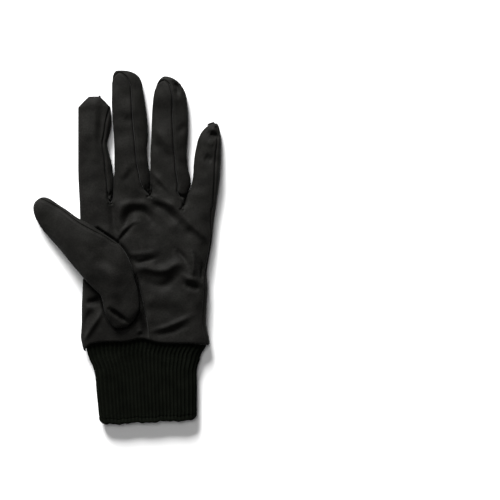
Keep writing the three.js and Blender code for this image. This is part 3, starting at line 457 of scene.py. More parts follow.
# %% Fingers
FINGERS = [
    {
        "name": "index",
        "length": 77.0,
        "width": 24.0,
        "lean": -1.2,
        "tip": 0.1,
        "bluntness": 0,
        "point": 0.02,
        "edges": table(
            "along left right",
            (0.13, -0.484, 0.53),
            (0.24, -0.494, 0.538),
            (0.33, -0.494, 0.535),
            (0.41, -0.489, 0.489),
            (0.5, -0.483, 0.411),
            (0.56, -0.479, 0.391),
            (0.61, -0.475, 0.43),
            (0.69, -0.47, 0.501),
            (0.78, -0.464, 0.534),
            (0.88, -0.458, 0.517),
            (1.0, -0.45, 0.5),
        ),
        "top": 1.0,
        "turns": table(
            "along palm_start palm_end back_start back_end",
            (0.0, 0, 150, 205, 360),
            (0.07, 0, 137, 205, 360),
            (0.17, 0, 129, 205, 360),
            (0.33, 0, 126, 205, 360),
            (0.48, 0, 134, 205, 360),
            (0.6, 0, 134, 205, 360),
            (0.74, 0, 131, 205, 360),
            (0.82, 0, 142, 203, 360),
            (0.87, 0, 157, 196, 360),
            (0.91, 0, 172, 185, 360),
            (0.93, 0, 180, 180, 360),
            (1.0, 0, 180, 180, 360),
        ),
    },
    {
        "name": "middle",
        "length": 93.5,
        "width": 24.5,
        "lean": -1.7,
        "tip": 0.14,
        "bluntness": 2.6,
        "point": -0.25,
        "edges": table(
            "along left right",
            (0.08, -0.476, 0.565),
            (0.155, -0.45, 0.59),
            (0.215, -0.44, 0.58),
            (0.29, -0.431, 0.544),
            (0.37, -0.423, 0.523),
            (0.48, -0.425, 0.564),
            (0.57, -0.442, 0.569),
            (0.66, -0.455, 0.55),
            (0.755, -0.459, 0.51),
            (0.85, -0.443, 0.462),
            (1.0, -0.43, 0.43),
        ),
        "top": 0.984,
        "turns": table(
            "along palm_start palm_end back_start back_end",
            (0.0, -15, 150, 188, 302),
            (0.03, -15, 140, 188, 302),
            (0.09, -15, 126, 188, 302),
            (0.17, -15, 113, 188, 302),
            (0.38, -15, 107, 188, 302),
            (0.51, -15, 100, 188, 302),
            (0.65, -15, 99, 188, 302),
            (0.75, -15, 101, 188, 302),
            (0.87, -15, 103, 188, 330),
            (0.9, -12, 99, 186, 348),
            (0.93, 6, 95, 182, 366),
            (0.956, 26, 89, 172, 386),
            (0.972, 42, 82, 145, 402),
            (0.98, 54, 75, 105, 414),
            (0.984, 65, 65, 65, 425),
            (1.0, 65, 65, 65, 425),
        ),
    },
    {
        "name": "ring",
        "length": 91.3,
        "width": 26.0,
        "lean": 1.6,
        "tip": 0.2,
        "bluntness": 2,
        "point": -0.12,
        "edges": table(
            "along left right",
            (0.07, -0.425, 0.56),
            (0.135, -0.43, 0.66),
            (0.2, -0.445, 0.654),
            (0.3, -0.458, 0.566),
            (0.42, -0.464, 0.538),
            (0.54, -0.453, 0.554),
            (0.655, -0.451, 0.548),
            (0.75, -0.446, 0.528),
            (0.83, -0.43, 0.5),
            (1.0, -0.41, 0.48),
        ),
        "top": 0.966,
        "turns": table(
            "along palm_start palm_end back_start back_end",
            (0.0, -13, 150, 188, 302),
            (0.03, -13, 132, 188, 302),
            (0.075, -13, 116, 188, 302),
            (0.24, -13, 108, 188, 302),
            (0.33, -13, 110, 188, 302),
            (0.42, -13, 106, 188, 302),
            (0.55, -13, 100, 188, 302),
            (0.69, -13, 97, 188, 302),
            (0.83, -13, 98, 188, 324),
            (0.89, -8, 95, 186, 352),
            (0.925, 10, 93, 180, 370),
            (0.943, 24, 89, 168, 384),
            (0.957, 42, 80, 130, 402),
            (0.963, 55, 73, 95, 415),
            (0.966, 65, 65, 65, 425),
            (1.0, 65, 65, 65, 425),
        ),
    },
    {
        "name": "little",
        "length": 64.3,
        "width": 20.2,
        "lean": 9.7,
        "tip": 0.24,
        "bluntness": 2,
        "point": 0.1,
        "edges": table(
            "along left right",
            (0.15, -0.46, 0.572),
            (0.29, -0.4, 0.564),
            (0.4, -0.41, 0.546),
            (0.51, -0.452, 0.511),
            (0.625, -0.47, 0.468),
            (0.74, -0.46, 0.41),
            (0.83, -0.44, 0.37),
            (1.0, -0.41, 0.3),
        ),
        "top": 1.0,
        "turns": table(
            "along palm_start palm_end back_start back_end",
            (0.0, -10, 151, 151, 302),
            (0.28, -10, 132, 132, 302),
            (0.48, -10, 126, 126, 302),
            (0.64, -10, 125, 125, 302),
            (0.8, -10, 131, 131, 310),
            (0.92, -4, 126, 126, 350),
            (0.96, 0, 112, 112, 360),
            (1.0, 0, 80, 80, 360),
        ),
    },
]
# The index tip is folded under: its end is cut off square, with slanted corners
SQUARE_TIP = table("share narrow", (0.0, 1.0), (0.5, 0.68), (0.94, 0.36), (1.0, 0.3))
ROUND_TOP, ROUND_BOTTOM = 2.2, 3.0
# The palm's cloth leaves a wider loop at each fork than the back's
FORK_LOOPS = [2.2, 2.8, 2.2]
print("fingers", {finger["name"]: finger["length"] for finger in FINGERS})

# %% Frames of the fingers


def fork_share(fork, side, face):
    width = FORK_LOOPS[fork] if face == "palm" else FORK_WEB
    return ROOTS["share"][fork + 1] + side * width / 2 / PALM_WIDTH


def left_share(f, face="palm"):
    return 0.0 if f == 0 else fork_share(f - 1, 1, face)


def right_share(f, face="palm"):
    return 1.0 if f == 3 else fork_share(f, -1, face)


def finger_frame(f):
    """Base, direction across and direction along a finger, and its edges from the root."""
    finger = FINGERS[f]
    ends = []
    for i in (f, f + 1):
        y = ROOTS["up"][i] * PALM_LENGTH
        share = ROOTS["share"][i]
        ends.append([lerp(hand_edge("left", y), hand_edge("right", y), share), y])
    base = np.mean(ends, axis=0)
    lean = math.radians(finger["lean"])
    across = np.array([math.cos(lean), -math.sin(lean)])
    along = np.array([math.sin(lean), math.cos(lean)])
    roots = [hand_point("back", s, 1.0)[:2] for s in (left_share(f, "back"), right_share(f, "back"))]
    sides = [(root - base) @ across / finger["width"] for root in roots]
    edges = finger["edges"]
    full = {
        "along": np.r_[0, edges["along"]],
        "left": np.r_[sides[0], edges["left"]],
        "right": np.r_[sides[1], edges["right"]],
    }
    return {"base": base, "across": across, "along": along, "edges": full}


FRAMES = [finger_frame(f) for f in range(4)]
print("roots of the fingers", [spot["base"].round(1).tolist() for spot in FRAMES])


def placed(f, across, along, z):
    """Point of the drawing, from a place in the frame of a finger."""
    spot = FRAMES[f]
    x = spot["base"][0] + spot["across"][0] * across + spot["along"][0] * along
    y = spot["base"][1] + spot["across"][1] * across + spot["along"][1] * along
    return np.stack(np.broadcast_arrays(x, y, z), axis=-1)


# %% Surface of the fingers


def finger_point(f, root, turn, along):
    """Point of a finger's smooth outer face. The root is the point that its column leaves."""
    finger, spot = FINGERS[f], FRAMES[f]
    width = finger["width"]
    left = width * curve(spot["edges"], "along", "left", along)
    right = width * curve(spot["edges"], "along", "right", along)
    if "fill_left" in spot:
        left = left - np.interp(along, *spot["fill_left"].values())
    if "fill_right" in spot:
        right = right + np.interp(along, *spot["fill_right"].values())
    half = lerp(FINGER_THICKNESS, TIP_THICKNESS, along) / 2
    up = along * finger["length"]
    angle = np.radians(turn)
    power = np.where(np.sin(angle) > 0, 2 / ROUND_TOP, 2 / ROUND_BOTTOM)
    ring_across = (left + right) / 2 - (right - left) / 2 * signed_power(np.cos(angle), power)
    ring_z = half + half * signed_power(np.sin(angle), power)
    ring = placed(f, ring_across, up, ring_z)

    offset = root[..., :2] - spot["base"]
    start, end = spot["edges"]["left"][0] * width, spot["edges"]["right"][0] * width
    share = np.clip((offset @ spot["across"] - start) / (end - start), 0, 1)
    blend = ease(along / lerp(FORK_BLEND, ROOT_BLEND, 4 * share * (1 - share)))
    slant = (offset @ spot["along"]) * (1 - blend)
    flat = placed(f, lerp(left, right, share), up + slant, root[..., 2])
    point = lerp(flat, ring, blend[..., None])

    rounding = np.clip((along - 1 + finger["tip"]) / finger["tip"], 0, 1)
    tip = placed(f, finger["point"] * width, up, half)
    if finger["bluntness"]:
        narrow = taper(rounding, finger["bluntness"])
    else:
        narrow = np.interp(rounding, SQUARE_TIP["share"], SQUARE_TIP["narrow"])
    thin = taper(rounding, 2)
    plan = lerp(tip[..., :2], point[..., :2], narrow[..., None])
    height = lerp(tip[..., 2], point[..., 2], thin)
    return np.concatenate([plan, height[..., None]], axis=-1)


root_point = hand_point("palm", 0.1, 1.0)
print("top of the index finger, half way up", finger_point(0, root_point, 90, 0.5).round(1))

# %% [markdown]
# ## The drawing laid on the frame
#
# The drawing has its zero at the hem, and the frame has it under the middle of
# the glove. Moving the finished objects would do, but here the meshes keep
# their place in themselves, so the shift is measured once, from the boxes of
# two solids. Where two fingers lie side by side, they are then widened until
# they touch, as soft cloth does above a fork.

# %% The drawing laid on the frame, and the forks
SIDE_ROWS = np.linspace(0, 0.9, 200)


def side_line(f, side):
    """Plan line of one side of a finger, up its length."""
    along = SIDE_ROWS
    across = FINGERS[f]["width"] * curve(FRAMES[f]["edges"], "along", side, along)
    return placed(f, across, along * FINGERS[f]["length"], 0.0)


drawn = (side_line(0, "left")[:, 0].min() + side_line(3, "right")[:, 0].max()) / 2
solid_low, solid_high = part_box("back")
SHIFT = np.array([(solid_low.x + solid_high.x) / 2 / MM - drawn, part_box("cuff")[0].y / MM])
SHIFT[1] += CUFF_LENGTH + CUFF_END_SLANT
print("drawing to row frame, mm", SHIFT)

# In the picture the fingers touch for a way above each fork
FORK_TOUCH = [54.5, 57.5, 43.0]
TOUCH_FADE = 5.0
TOUCH_OVERLAP = 0.1


def fill_fork(f):
    """Widen both fingers of a fork by half of the gap that is left between them."""
    left, right = side_line(f, "right"), side_line(f + 1, "left")
    for g, side, line, other in ((f, "right", left, right), (f + 1, "left", right, left)):
        gap = np.abs(np.interp(line[:, 1], other[:, 1], other[:, 0]) - line[:, 0])
        touch = ease((FORK_TOUCH[f] - SHIFT[1] - line[:, 1]) / TOUCH_FADE)
        rows = {"along": SIDE_ROWS, "fill": (gap / 2 + TOUCH_OVERLAP) * touch}
        rows["fill"][0] = 0
        FRAMES[g]["fill_" + side] = rows


for f in range(3):
    fill_fork(f)

# %% [markdown]
# ## Columns and rows
#
# A cloth's mesh follows its seams: every column starts at the hem and ends at
# a fingertip, and every border between two cloths is one column of both. A
# remeshed sculpture would have even faces everywhere. Columns spend them where
# folds and seams are, and leave clean edges for the thickness to follow.

# %% Columns and rows
HAND_ROWS = 120
FORK_ROWS = 18
FINGER_ROWS = 74
ARC_ROWS = 30
TIP_ROWS = 18
FRONT_COLUMNS = 46
BACK_COLUMNS = 22
STRIP_COLUMNS = 16
OUTER_COLUMNS = 10
WEB_COLUMNS = 6
FORK_END, ARC_START = 0.1, 0.86
CROWDING = 0.6
HEM_CROWDING = 1.1


def side_share(t):
    """Share of the way across, slow at both edges, where the cloth turns down."""
    return (1 - np.cos(np.pi * t)) / 2


def crowded(count):
    """Shares from 0 to 1, closer together at both ends."""
    t = np.linspace(0, 1, count + 1)
    return (1 - CROWDING) * t + CROWDING * side_share(t)


def quarter(count):
    """Shares from 0 to 1 that even out the steps round a tip."""
    return np.sin(np.radians(np.linspace(0, 90, count + 1)))


def finger_stations(f, whole=True):
    """Shares along a finger at which its rows lie. The strips end at the top of their seam."""
    top = FINGERS[f]["top"]
    fork = np.linspace(0, FORK_END, FORK_ROWS + 1)
    body = np.linspace(FORK_END, ARC_START, FINGER_ROWS + 1)[1:]
    arc = ARC_START + (top - ARC_START) * quarter(ARC_ROWS)[1:]
    tip = top + (1 - top) * quarter(TIP_ROWS)[1:] if top < 1 else []
    return np.r_[fork, body, arc, tip] if whole else np.r_[fork, body, arc]


def turn_at(f, name, along):
    """Place of a seam round a finger, in degrees from its left edge over the top."""
    return curve(FINGERS[f]["turns"], "along", name, along)


HAND_RISES = np.linspace(0, 1, HAND_ROWS + 1) ** HEM_CROWDING
print("rows", [HAND_ROWS + len(finger_stations(f)) for f in range(4)])

# %% Grids of the cloths


def finger_grid(f, roots, first, last, t, stations):
    """Finger part of a cloth: columns between two seams, given as turns along the finger."""
    turn = lerp(first(stations[None, :]), last(stations[None, :]), t)
    return finger_point(f, roots, turn, stations[None, :])


def outer_seam_share():
    """Share of the way across at which the little side's seam lies, row by row."""
    up = lerp(hem_y(1.0), root_y(1.0), HAND_RISES) / PALM_LENGTH
    return 1 - curve(OUTER_SEAM, "up", "inset", up)[None, :] / PALM_WIDTH


def front_grids(f):
    """Hand part and finger part of one finger's share of the palm's cloth."""
    last = outer_seam_share() if f == 3 else right_share(f)
    t = crowded(FRONT_COLUMNS)[:, None]
    share = lerp(left_share(f), last, side_share(t))
    hand = hand_point("palm", share, HAND_RISES[None, :])
    finger = finger_grid(
        f,
        hand[:, -1:],
        lambda along: turn_at(f, "palm_start", along),
        lambda along: turn_at(f, "palm_end", along),
        t,
        finger_stations(f, whole=False),
    )
    return hand, finger


def back_grids(f):
    """Hand part and finger part of one finger's share of the back's cloth."""
    t = crowded(BACK_COLUMNS)[:, None]
    share = lerp(right_share(f, "back"), left_share(f, "back"), side_share(t))
    hand = hand_point("back", share, HAND_RISES[None, :])
    finger = finger_grid(
        f,
        hand[:, -1:],
        lambda along: 180 + 0 * along if f == 3 else turn_at(f, "back_start", along),
        lambda along: turn_at(f, "back_end", along),
        t,
        finger_stations(f),
    )
    return hand, finger


def outer_grids():
    """The back's cloth where it wraps round the little side to its seam on the palm's face."""
    t = crowded(OUTER_COLUMNS)[:, None]
    hand = hand_point("palm", lerp(outer_seam_share(), 1.0, t), HAND_RISES[None, :])
    finger = finger_grid(
        3,
        hand[:, -1:],
        lambda along: turn_at(3, "back_start", along),
        lambda along: 180 + 0 * along,
        t,
        finger_stations(3),
    )
    return hand, finger


def strip_grids(f):
    """The two sides of the fourchette between finger f and the next one."""
    t = crowded(STRIP_COLUMNS)[:, None]
    sides = []
    for g, side, first, last, whole in (
        (f, -1, "palm_end", "back_start", 0),
        (f + 1, 1, "palm_start", "back_end", 360),
    ):
        top = hand_point("palm", fork_share(f, side, "palm"), 1.0)
        bottom = hand_point("back", fork_share(f, side, "back"), 1.0)
        root = lerp(top, bottom, t[:, :, None])
        sides.append(
            finger_grid(
                g,
                root,
                lambda along, g=g, first=first, whole=whole: turn_at(g, first, along) + whole,
                lambda along, g=g, last=last: turn_at(g, last, along),
                t,
                finger_stations(g, whole=False),
            )
        )
    return sides


print("middle fourchette, columns and rows", [side.shape[:2] for side in strip_grids(1)])

# %% [markdown]
# ## The thumb
#
# The thumb is a flat pouch that lies over the palm and hangs down beyond its
# edge. Its seam runs round its right side and base, where the pouch is sewn to
# the palm. A cloth simulation could drop it into place, but it would end a
# little differently each time. Here its underside is simply the height of what
# lies below: the palm, and further out a slope down towards the table.

# %% Surface of the thumb
THUMB_LENGTH = 112.0
THUMB_WIDTH = 34.0
THUMB_THICKNESS = 9.2
THUMB_LEAN = -35.1
THUMB_BASE = np.array([-15.8, 11.2])
THUMB_LIFT = 0.6
THUMB_TIP_HEIGHT = 2.4
THUMB_DROOP = 38.0
THUMB_END_LIFT = 0.2
THUMB_BASE_ROUND = 0.05
THUMB_TIP_ROUND = 0.12
THUMB_TIP_BLUNT = 2.5
THUMB_ROUND_TOP, THUMB_ROUND_BOTTOM = 2.2, 7.0
THUMB_EDGES = table(
    "along left right",
    (0.0, -0.06, 0.36),
    (0.05, -0.12, 0.54),
    (0.1, -0.12, 0.65),
    (0.16, -0.09, 0.745),
    (0.21, -0.02, 0.8),
    (0.26, 0.035, 0.87),
    (0.33, 0.0, 0.95),
    (0.42, -0.05, 0.985),
    (0.48, -0.07, 0.95),
    (0.54, -0.09, 0.88),
    (0.61, -0.11, 0.79),
    (0.68, -0.13, 0.7),
    (0.75, -0.16, 0.58),
    (0.84, -0.185, 0.475),
    (0.88, -0.176, 0.418),
    (0.92, -0.162, 0.374),
    (1.0, -0.13, 0.34),
)
THUMB_BODY = table("along full", (0.0, 0.5), (0.12, 0.72), (0.3, 1.0), (0.7, 1.0), (1.0, 0.88))
THUMB_ROWS = 200
THUMB_SIDES = 144


def thumb_floor(x, y):
    """Underside of the thumb: on the palm, drooping beyond the palm's edge."""
    beyond = hand_edge("left", y) - x
    droop = ease(1 - (beyond + EDGE_ROLL) / THUMB_DROOP)
    hanging = lerp(THUMB_TIP_HEIGHT, HAND_THICKNESS + THUMB_LIFT, droop)
    smooth = hand_height("palm", x, y) + THUMB_LIFT
    return np.where(beyond > 0, hanging, np.maximum(hanging, smooth))


def thumb_point(along, turn):
    """Point of the pouch. The turn starts at the left edge and goes over the top."""
    left = THUMB_WIDTH * curve(THUMB_EDGES, "along", "left", along)
    right = THUMB_WIDTH * curve(THUMB_EDGES, "along", "right", along)
    narrow = taper(1 - along / THUMB_BASE_ROUND, 2)
    narrow = narrow * taper((along - 1) / THUMB_TIP_ROUND + 1, THUMB_TIP_BLUNT)
    middle, half = (left + right) / 2, (right - left) / 2 * narrow
    across = middle - half * np.cos(turn)
    lean = math.radians(THUMB_LEAN)
    up = along * THUMB_LENGTH
    x = THUMB_BASE[0] + math.cos(lean) * across + math.sin(lean) * up
    y = THUMB_BASE[1] - math.sin(lean) * across + math.cos(lean) * up
    full = THUMB_THICKNESS * curve(THUMB_BODY, "along", "full", along)
    power = np.where(np.sin(turn) > 0, 2 / THUMB_ROUND_TOP, 2 / THUMB_ROUND_BOTTOM)
    lift = (1 + signed_power(np.sin(turn), power)) / 2
    z = thumb_floor(x, y) + full * (1 - narrow) * THUMB_END_LIFT + full * narrow * lift
    return np.stack(np.broadcast_arrays(x, y, z), axis=-1)


def under_thumb(x, y):
    """How far inside the thumb's outline a point of the plan lies."""
    lean = math.radians(THUMB_LEAN)
    dx, dy = x - THUMB_BASE[0], y - THUMB_BASE[1]
    across = dx * math.cos(lean) - dy * math.sin(lean)
    up = dx * math.sin(lean) + dy * math.cos(lean)
    along = up / THUMB_LENGTH
    left = THUMB_WIDTH * curve(THUMB_EDGES, "along", "left", along)
    right = THUMB_WIDTH * curve(THUMB_EDGES, "along", "right", along)
    return np.minimum(np.minimum(across - left, right - across), up)


print("thumb", THUMB_LENGTH, "mm long, highest", round(float(thumb_point(0.3, math.pi / 2)[2]), 1))


# %% [markdown]
# ## From points to cloth
#
# A grid of points becomes a mesh of four-sided faces, which smooth shading
# likes best. Grids that meet share their border points, so they are welded
# into one cloth. Modelling the inner face too would double the work, so the
# cloth gets its thickness from a Solidify modifier, as thin and even as the
# knit is. It needs faces that all look outward, which is settled at the end.

# %% Making a cloth from grids
WALL = 1.0
WELD = 1e-3


def grid_faces(columns, rows, start, flip):
    """Quads of a grid whose points are numbered column by column."""
    c, r = np.meshgrid(np.arange(columns - 1), np.arange(rows - 1), indexing="ij")
    a = start + c * rows + r
    quads = np.stack([a, a + rows, a + rows + 1, a + 1], axis=-1).reshape(-1, 4)
    return quads[:, ::-1] if flip else quads


def welded(points, faces):
    """Points to keep, as points closer than the weld become one, and the faces that remain."""
    keys = np.round(points / WELD).astype(np.int64)
    _, first, index = np.unique(keys, axis=0, return_index=True, return_inverse=True)
    index = index.reshape(-1)
    kept = []
    for face in index[faces]:
        ring = [v for i, v in enumerate(face) if v != face[i - 1]]
        if len(ring) > 2 and len(set(ring)) == len(ring):
            kept.append(ring)
    return first, kept


def face_outward(mesh):
    """Make all faces look out of the cloth's tube."""
    turned = bmesh.new()
    turned.from_mesh(mesh)
    bmesh.ops.recalc_face_normals(turned, faces=turned.faces)
    # The upper half of a cloth looks up; if it looks down, the cloth is inside out
    heights = [face.calc_center_median().z for face in turned.faces]
    middle = (min(heights) + max(heights)) / 2
    looks_up = sum(f.normal.z * f.calc_area() for f, z in zip(turned.faces, heights) if z > middle)
    if looks_up < 0:
        bmesh.ops.reverse_faces(turned, faces=turned.faces)
    turned.to_mesh(mesh)
    turned.free()


def cloth(name, grids, wall=WALL, marks=None):
    """One cloth from grids of outer points, each with True if its faces must be turned.

    The marks, if any, are a name and a number for every point, kept for the material.
    """
    points, faces, start = [], [], 0
    for grid, flip in grids:
        columns, rows = grid.shape[:2]
        points.append(grid.reshape(-1, 3))
        faces.append(grid_faces(columns, rows, start, flip))
        start += columns * rows
    points = np.concatenate(points)
    kept, faces = welded(points, np.concatenate(faces))
    placed_points = points[kept] + [SHIFT[0], SHIFT[1], 0]
    mesh = bpy.data.meshes.new(name)
    mesh.from_pydata((placed_points * MM).tolist(), [], faces)
    mesh.validate()
    face_outward(mesh)
    mesh.shade_smooth()
    if marks:
        attribute = mesh.attributes.new(marks[0], "FLOAT", "POINT")
        attribute.data.foreach_set("value", marks[1].reshape(-1)[kept])
    piece = bpy.data.objects.new(name, mesh)
    bpy.context.scene.collection.objects.link(piece)
    body = piece.modifiers.new("cloth", "SOLIDIFY")
    body.thickness = wall * MM
    body.offset = -1
    print(name, len(mesh.vertices), "points", len(mesh.polygons), "faces")
    return piece


# %% [markdown]
# ## Dressing the cloth
#
# So far every surface is smooth. Now the lines of all seams are collected, and
# each point of a cloth is moved: in towards the middle of its tube where a seam
# or the hem holds it, and up or down where a fold runs. A displacement texture
# could do the same, but it would need a map of the whole glove, while these
# functions work wherever a point lies, so cloths stay joined at their seams.

# %% Lines of the seams
# The thumb is set into the palm, which sinks a little all round it
THUMB_MOAT = 2.6
THUMB_MOAT_WIDTH = 1.25
THUMB_MOAT_END = 0.62
HEM_STEPS, OUTLINE_STEPS = 400, 80

seams, hems = Lines(), Lines()
LITTLE_SEAM_END = 0.955
SEAM_SHOWS = {"palm_start": 1.0, "palm_end": 0.985, "back_start": 0.93, "back_end": 0.86}
for f in range(4):
    hand, finger = front_grids(f)
    _, rear = back_grids(f)
    stations = finger_stations(f)
    lines = {"palm_end": finger[-1]}
    if f < 3:
        lines["back_start"] = rear[0]
    if f:
        lines["palm_start"] = finger[0]
        lines["back_end"] = rear[-1]
    for name, line in lines.items():
        shows = LITTLE_SEAM_END if f == 3 else SEAM_SHOWS[name]
        seams.add(line[stations[: len(line)] <= shows])
    if f == 3:
        seams.add(hand[-1])
    else:
        for face in ("palm", "back"):
            fork = np.linspace(right_share(f, face), left_share(f + 1, face), 5)
            seams.add(hand_point(face, fork, 1.0))
for face in ("palm", "back"):
    hems.add(hand_point(face, np.linspace(0, 1, HEM_STEPS), 0.0))
thumb_line = Lines()
reach = np.linspace(0, THUMB_MOAT_END, OUTLINE_STEPS)
outline = [thumb_point(reach, turn) for turn in (0, math.pi)]
for line in outline:
    line[:, 2] = hand_height("palm", line[:, 0], line[:, 1])
thumb_line.add(np.concatenate([outline[0][::-1], outline[1]]))
for lines in (seams, hems, thumb_line):
    lines.ready()
print("seam points", len(seams.points), "hem points", len(hems.points))

# %% Directions into the cloth
INWARD_BLEND = 0.3


def inward(points, left, right, across, middle):
    """Unit vectors into the cloth's tube, from the slope of an ellipse round its section."""
    half = (right - left) / 2
    sideways = (across - (left + right) / 2) / half**2
    upward = (points[..., 2] - middle) / middle**2
    size = np.hypot(sideways, upward) + 1e-9
    return -sideways / size, -upward / size


def hand_inward(points):
    x, y = points[..., 0], points[..., 1]
    left, right = hand_edge("left", y), hand_edge("right", y)
    side, up = inward(points, left, right, x, hand_thickness(x, y) / 2)
    return np.stack([side, 0 * side, up], axis=-1)


def finger_inward(f, points, along):
    spot, width = FRAMES[f], FINGERS[f]["width"]
    left = width * curve(spot["edges"], "along", "left", along)
    right = width * curve(spot["edges"], "along", "right", along)
    across = (points[..., :2] - spot["base"]) @ spot["across"]
    middle = lerp(FINGER_THICKNESS, TIP_THICKNESS, along) / 2
    side, up = inward(points, left, right, across, middle)
    own = np.stack([side * spot["across"][0], side * spot["across"][1], up], axis=-1)
    blend = ease(along / INWARD_BLEND)[..., None]
    mixed = lerp(hand_inward(points), own, blend)
    return mixed / np.linalg.norm(mixed, axis=-1, keepdims=True)


print("into the palm at its middle", hand_inward(hand_point("palm", 0.5, 0.5)).round(2))

# %% Low waves of slack cloth
# Size and height of the waves, from the largest to the smallest
SWELLS = [(16.0, 1.0), (9.0, 0.6), (5.5, 0.25)]
SWELL_CELLS = 64
chance = np.random.default_rng(24)
swell_fields = [chance.uniform(-1, 1, (SWELL_CELLS, SWELL_CELLS)) for _ in SWELLS]


def swells(x, y):
    """Low uneven waves of cloth that nothing pulls tight."""
    x, y = np.broadcast_arrays(x, y)
    rise = np.zeros(x.shape)
    for (size, height), field in zip(SWELLS, swell_fields):
        u, v = x / size + SWELL_CELLS / 2, y / size + SWELL_CELLS / 2
        i, j = np.floor(u).astype(int), np.floor(v).astype(int)
        s, t = ease(u - i), ease(v - j)
        low = lerp(field[i, j], field[i + 1, j], s)
        high = lerp(field[i, j + 1], field[i + 1, j + 1], s)
        rise += height * lerp(low, high, t)
    return rise


print("waves of", [size for size, _ in SWELLS], "mm")

# %% Folds and seams put on
# Folds fade towards the fingers' roots, the hand's edge and the underside
ROOT_END, ROOT_FADE = 1.02, 6.0
EDGE_START, EDGE_FADE = 0.5, 5.0
UPPER_START, UPPER_FADE = 4.0, 2.5
COVER_FADE = 1.5


def dressed(points, way_in):
    """Outer points with their folds and seams."""
    x, y, z = points[..., 0], points[..., 1], points[..., 2]
    row_x, row_y = x + SHIFT[0], y + SHIFT[1]
    left, right = hand_edge("left", y), hand_edge("right", y)
    edge = np.minimum(x - left, right - x)
    in_hand = ease((PALM_LENGTH * ROOT_END - y) / ROOT_FADE)
    inland = lerp(1, ease((edge - EDGE_START) / EDGE_FADE), in_hand)
    upper = ease((z - UPPER_START) / UPPER_FADE)
    from_hem = ease((y - hem_y(np.clip((x - left) / (right - left), 0, 1))) / HEM_ROLL)
    folds = fold_rise(PALM_FOLDS, row_x, row_y) * in_hand * from_hem
    folds = folds + fold_rise(FINGER_FOLDS, row_x, row_y) + swells(row_x, row_y) * from_hem
    # A ridge may not push up through the thumb that lies on it
    folds = np.where(folds > 0, folds * ease(-under_thumb(x, y) / COVER_FADE), folds)
    dip = groove(seams.distance(points))
    moat = THUMB_MOAT * np.exp(-((thumb_line.distance(points) / THUMB_MOAT_WIDTH) ** 2))
    dip = dip + moat + HEM_DIP * (1 - roll(hems.distance(points) / HEM_DIP_WIDTH))
    result = points + way_in * dip[..., None]
    result[..., 2] += folds * inland * upper
    return result


def dressed_hand(points):
    return dressed(points, hand_inward(points))


def dressed_finger(f, points):
    along = finger_stations(f)[None, : points.shape[1]]
    return dressed(points, finger_inward(f, points, along))


print("middle of the palm, with folds", dressed_hand(hand_point("palm", 0.5, 0.5)).round(1))

# %% The pieces of the hand


def web_grid(face, f):
    """Narrow strip of the hand that runs up to the bottom of a fork."""
    ends = left_share(f + 1, face), right_share(f, face)
    share = np.linspace(*ends, WEB_COLUMNS + 1)[:, None]
    return hand_point(face, share, HAND_RISES[None, :])


palm_parts, back_parts = [], []
for f in range(4):
    hand, finger = front_grids(f)
    palm_parts += [(dressed_hand(hand), False), (dressed_finger(f, finger), False)]
    hand, finger = back_grids(f)
    back_parts += [(dressed_hand(hand), False), (dressed_finger(f, finger), False)]
    if f < 3:
        palm_parts.append((dressed_hand(web_grid("palm", f)), True))
        back_parts.append((dressed_hand(web_grid("back", f)), False))
hand, finger = outer_grids()
back_parts += [(dressed_hand(hand), False), (dressed_finger(3, finger), False)]
palm = cloth("palm_cloth", palm_parts)
back = cloth("back_cloth", back_parts)

strips = []
for f in range(3):
    first, second = strip_grids(f)
    first, second = dressed_finger(f, first), dressed_finger(f + 1, second)
    web = np.stack([first[:, 0], second[:, 0]], axis=1)
    name = f"fourchette_{FINGERS[f]['name']}_{FINGERS[f + 1]['name']}_cloth"
    strips.append(cloth(name, [(first, False), (second, True), (web, True)]))

# %% [markdown]
# ## The thumb's cloth
#
# The pouch is one tube of cloth. Its seam shows as a line inside the upper
# edge, because the far side of the tube is wider there and rolls into view.
# Two cloths sewn together would be truer, but nobody sees under the thumb. So
# one closed tube is made, and the seam is a groove in its upper face.

# %% Folds and seam of the thumb
THUMB_FOLDS = records(
    "width rise steep points",
    (1.5, -3.6, 1.0, [(-12.5, -44), (-6.5, -48.3), (-0.3, -53)]),
    (7.0, 0.5, 1.0, [(-55, 22), (-42, 8), (-28, -6)]),
    (4.0, -0.9, 1.0, [(-34, 4), (-22, -6), (-8, -16)]),
    (4.5, 0.8, 1.0, [(-24, -8), (-14, -17), (-7, -30)]),
    (3.5, -0.6, 1.0, [(-14, -34), (-8, -38), (-2, -45)]),
)
# The seam lies inside the upper edge, then runs out over it
THUMB_SEAM = [
    (-62, 35),
    (-58, 33),
    (-48, 27.5),
    (-36, 18.5),
    (-26, 12.8),
    (-17, 8.4),
    (-9.5, 3.4),
    (-6, 2.6),
]
THUMB_FACE = 0.6
THUMB_BASE_ROWS, THUMB_TIP_ROWS = 12, 18


def thumb_stations():
    base = THUMB_BASE_ROUND * (1 - np.cos(np.radians(np.linspace(0, 90, THUMB_BASE_ROWS + 1))))
    body = np.linspace(THUMB_BASE_ROUND, 1 - THUMB_TIP_ROUND, THUMB_ROWS)
    tip = 1 - THUMB_TIP_ROUND * (1 - quarter(THUMB_TIP_ROWS))
    return np.r_[base[:-1], body, tip[1:]]


def thumb_cloth():
    turns = np.linspace(0, 2 * np.pi, THUMB_SIDES + 1)[:, None]
    points = thumb_point(thumb_stations()[None, :], turns)
    points[-1] = points[0]
    upper = ease(np.sin(turns) / THUMB_FACE)
    row_x, row_y = points[..., 0] + SHIFT[0], points[..., 1] + SHIFT[1]
    away, _, _ = nearest_on(stroke_line(THUMB_SEAM), row_x, row_y)
    rise = fold_rise(THUMB_FOLDS, row_x, row_y) + swells(row_x, row_y) - groove(away)
    points[..., 2] += rise * upper
    return cloth("thumb_cloth", [(points, False)])


thumb = thumb_cloth()

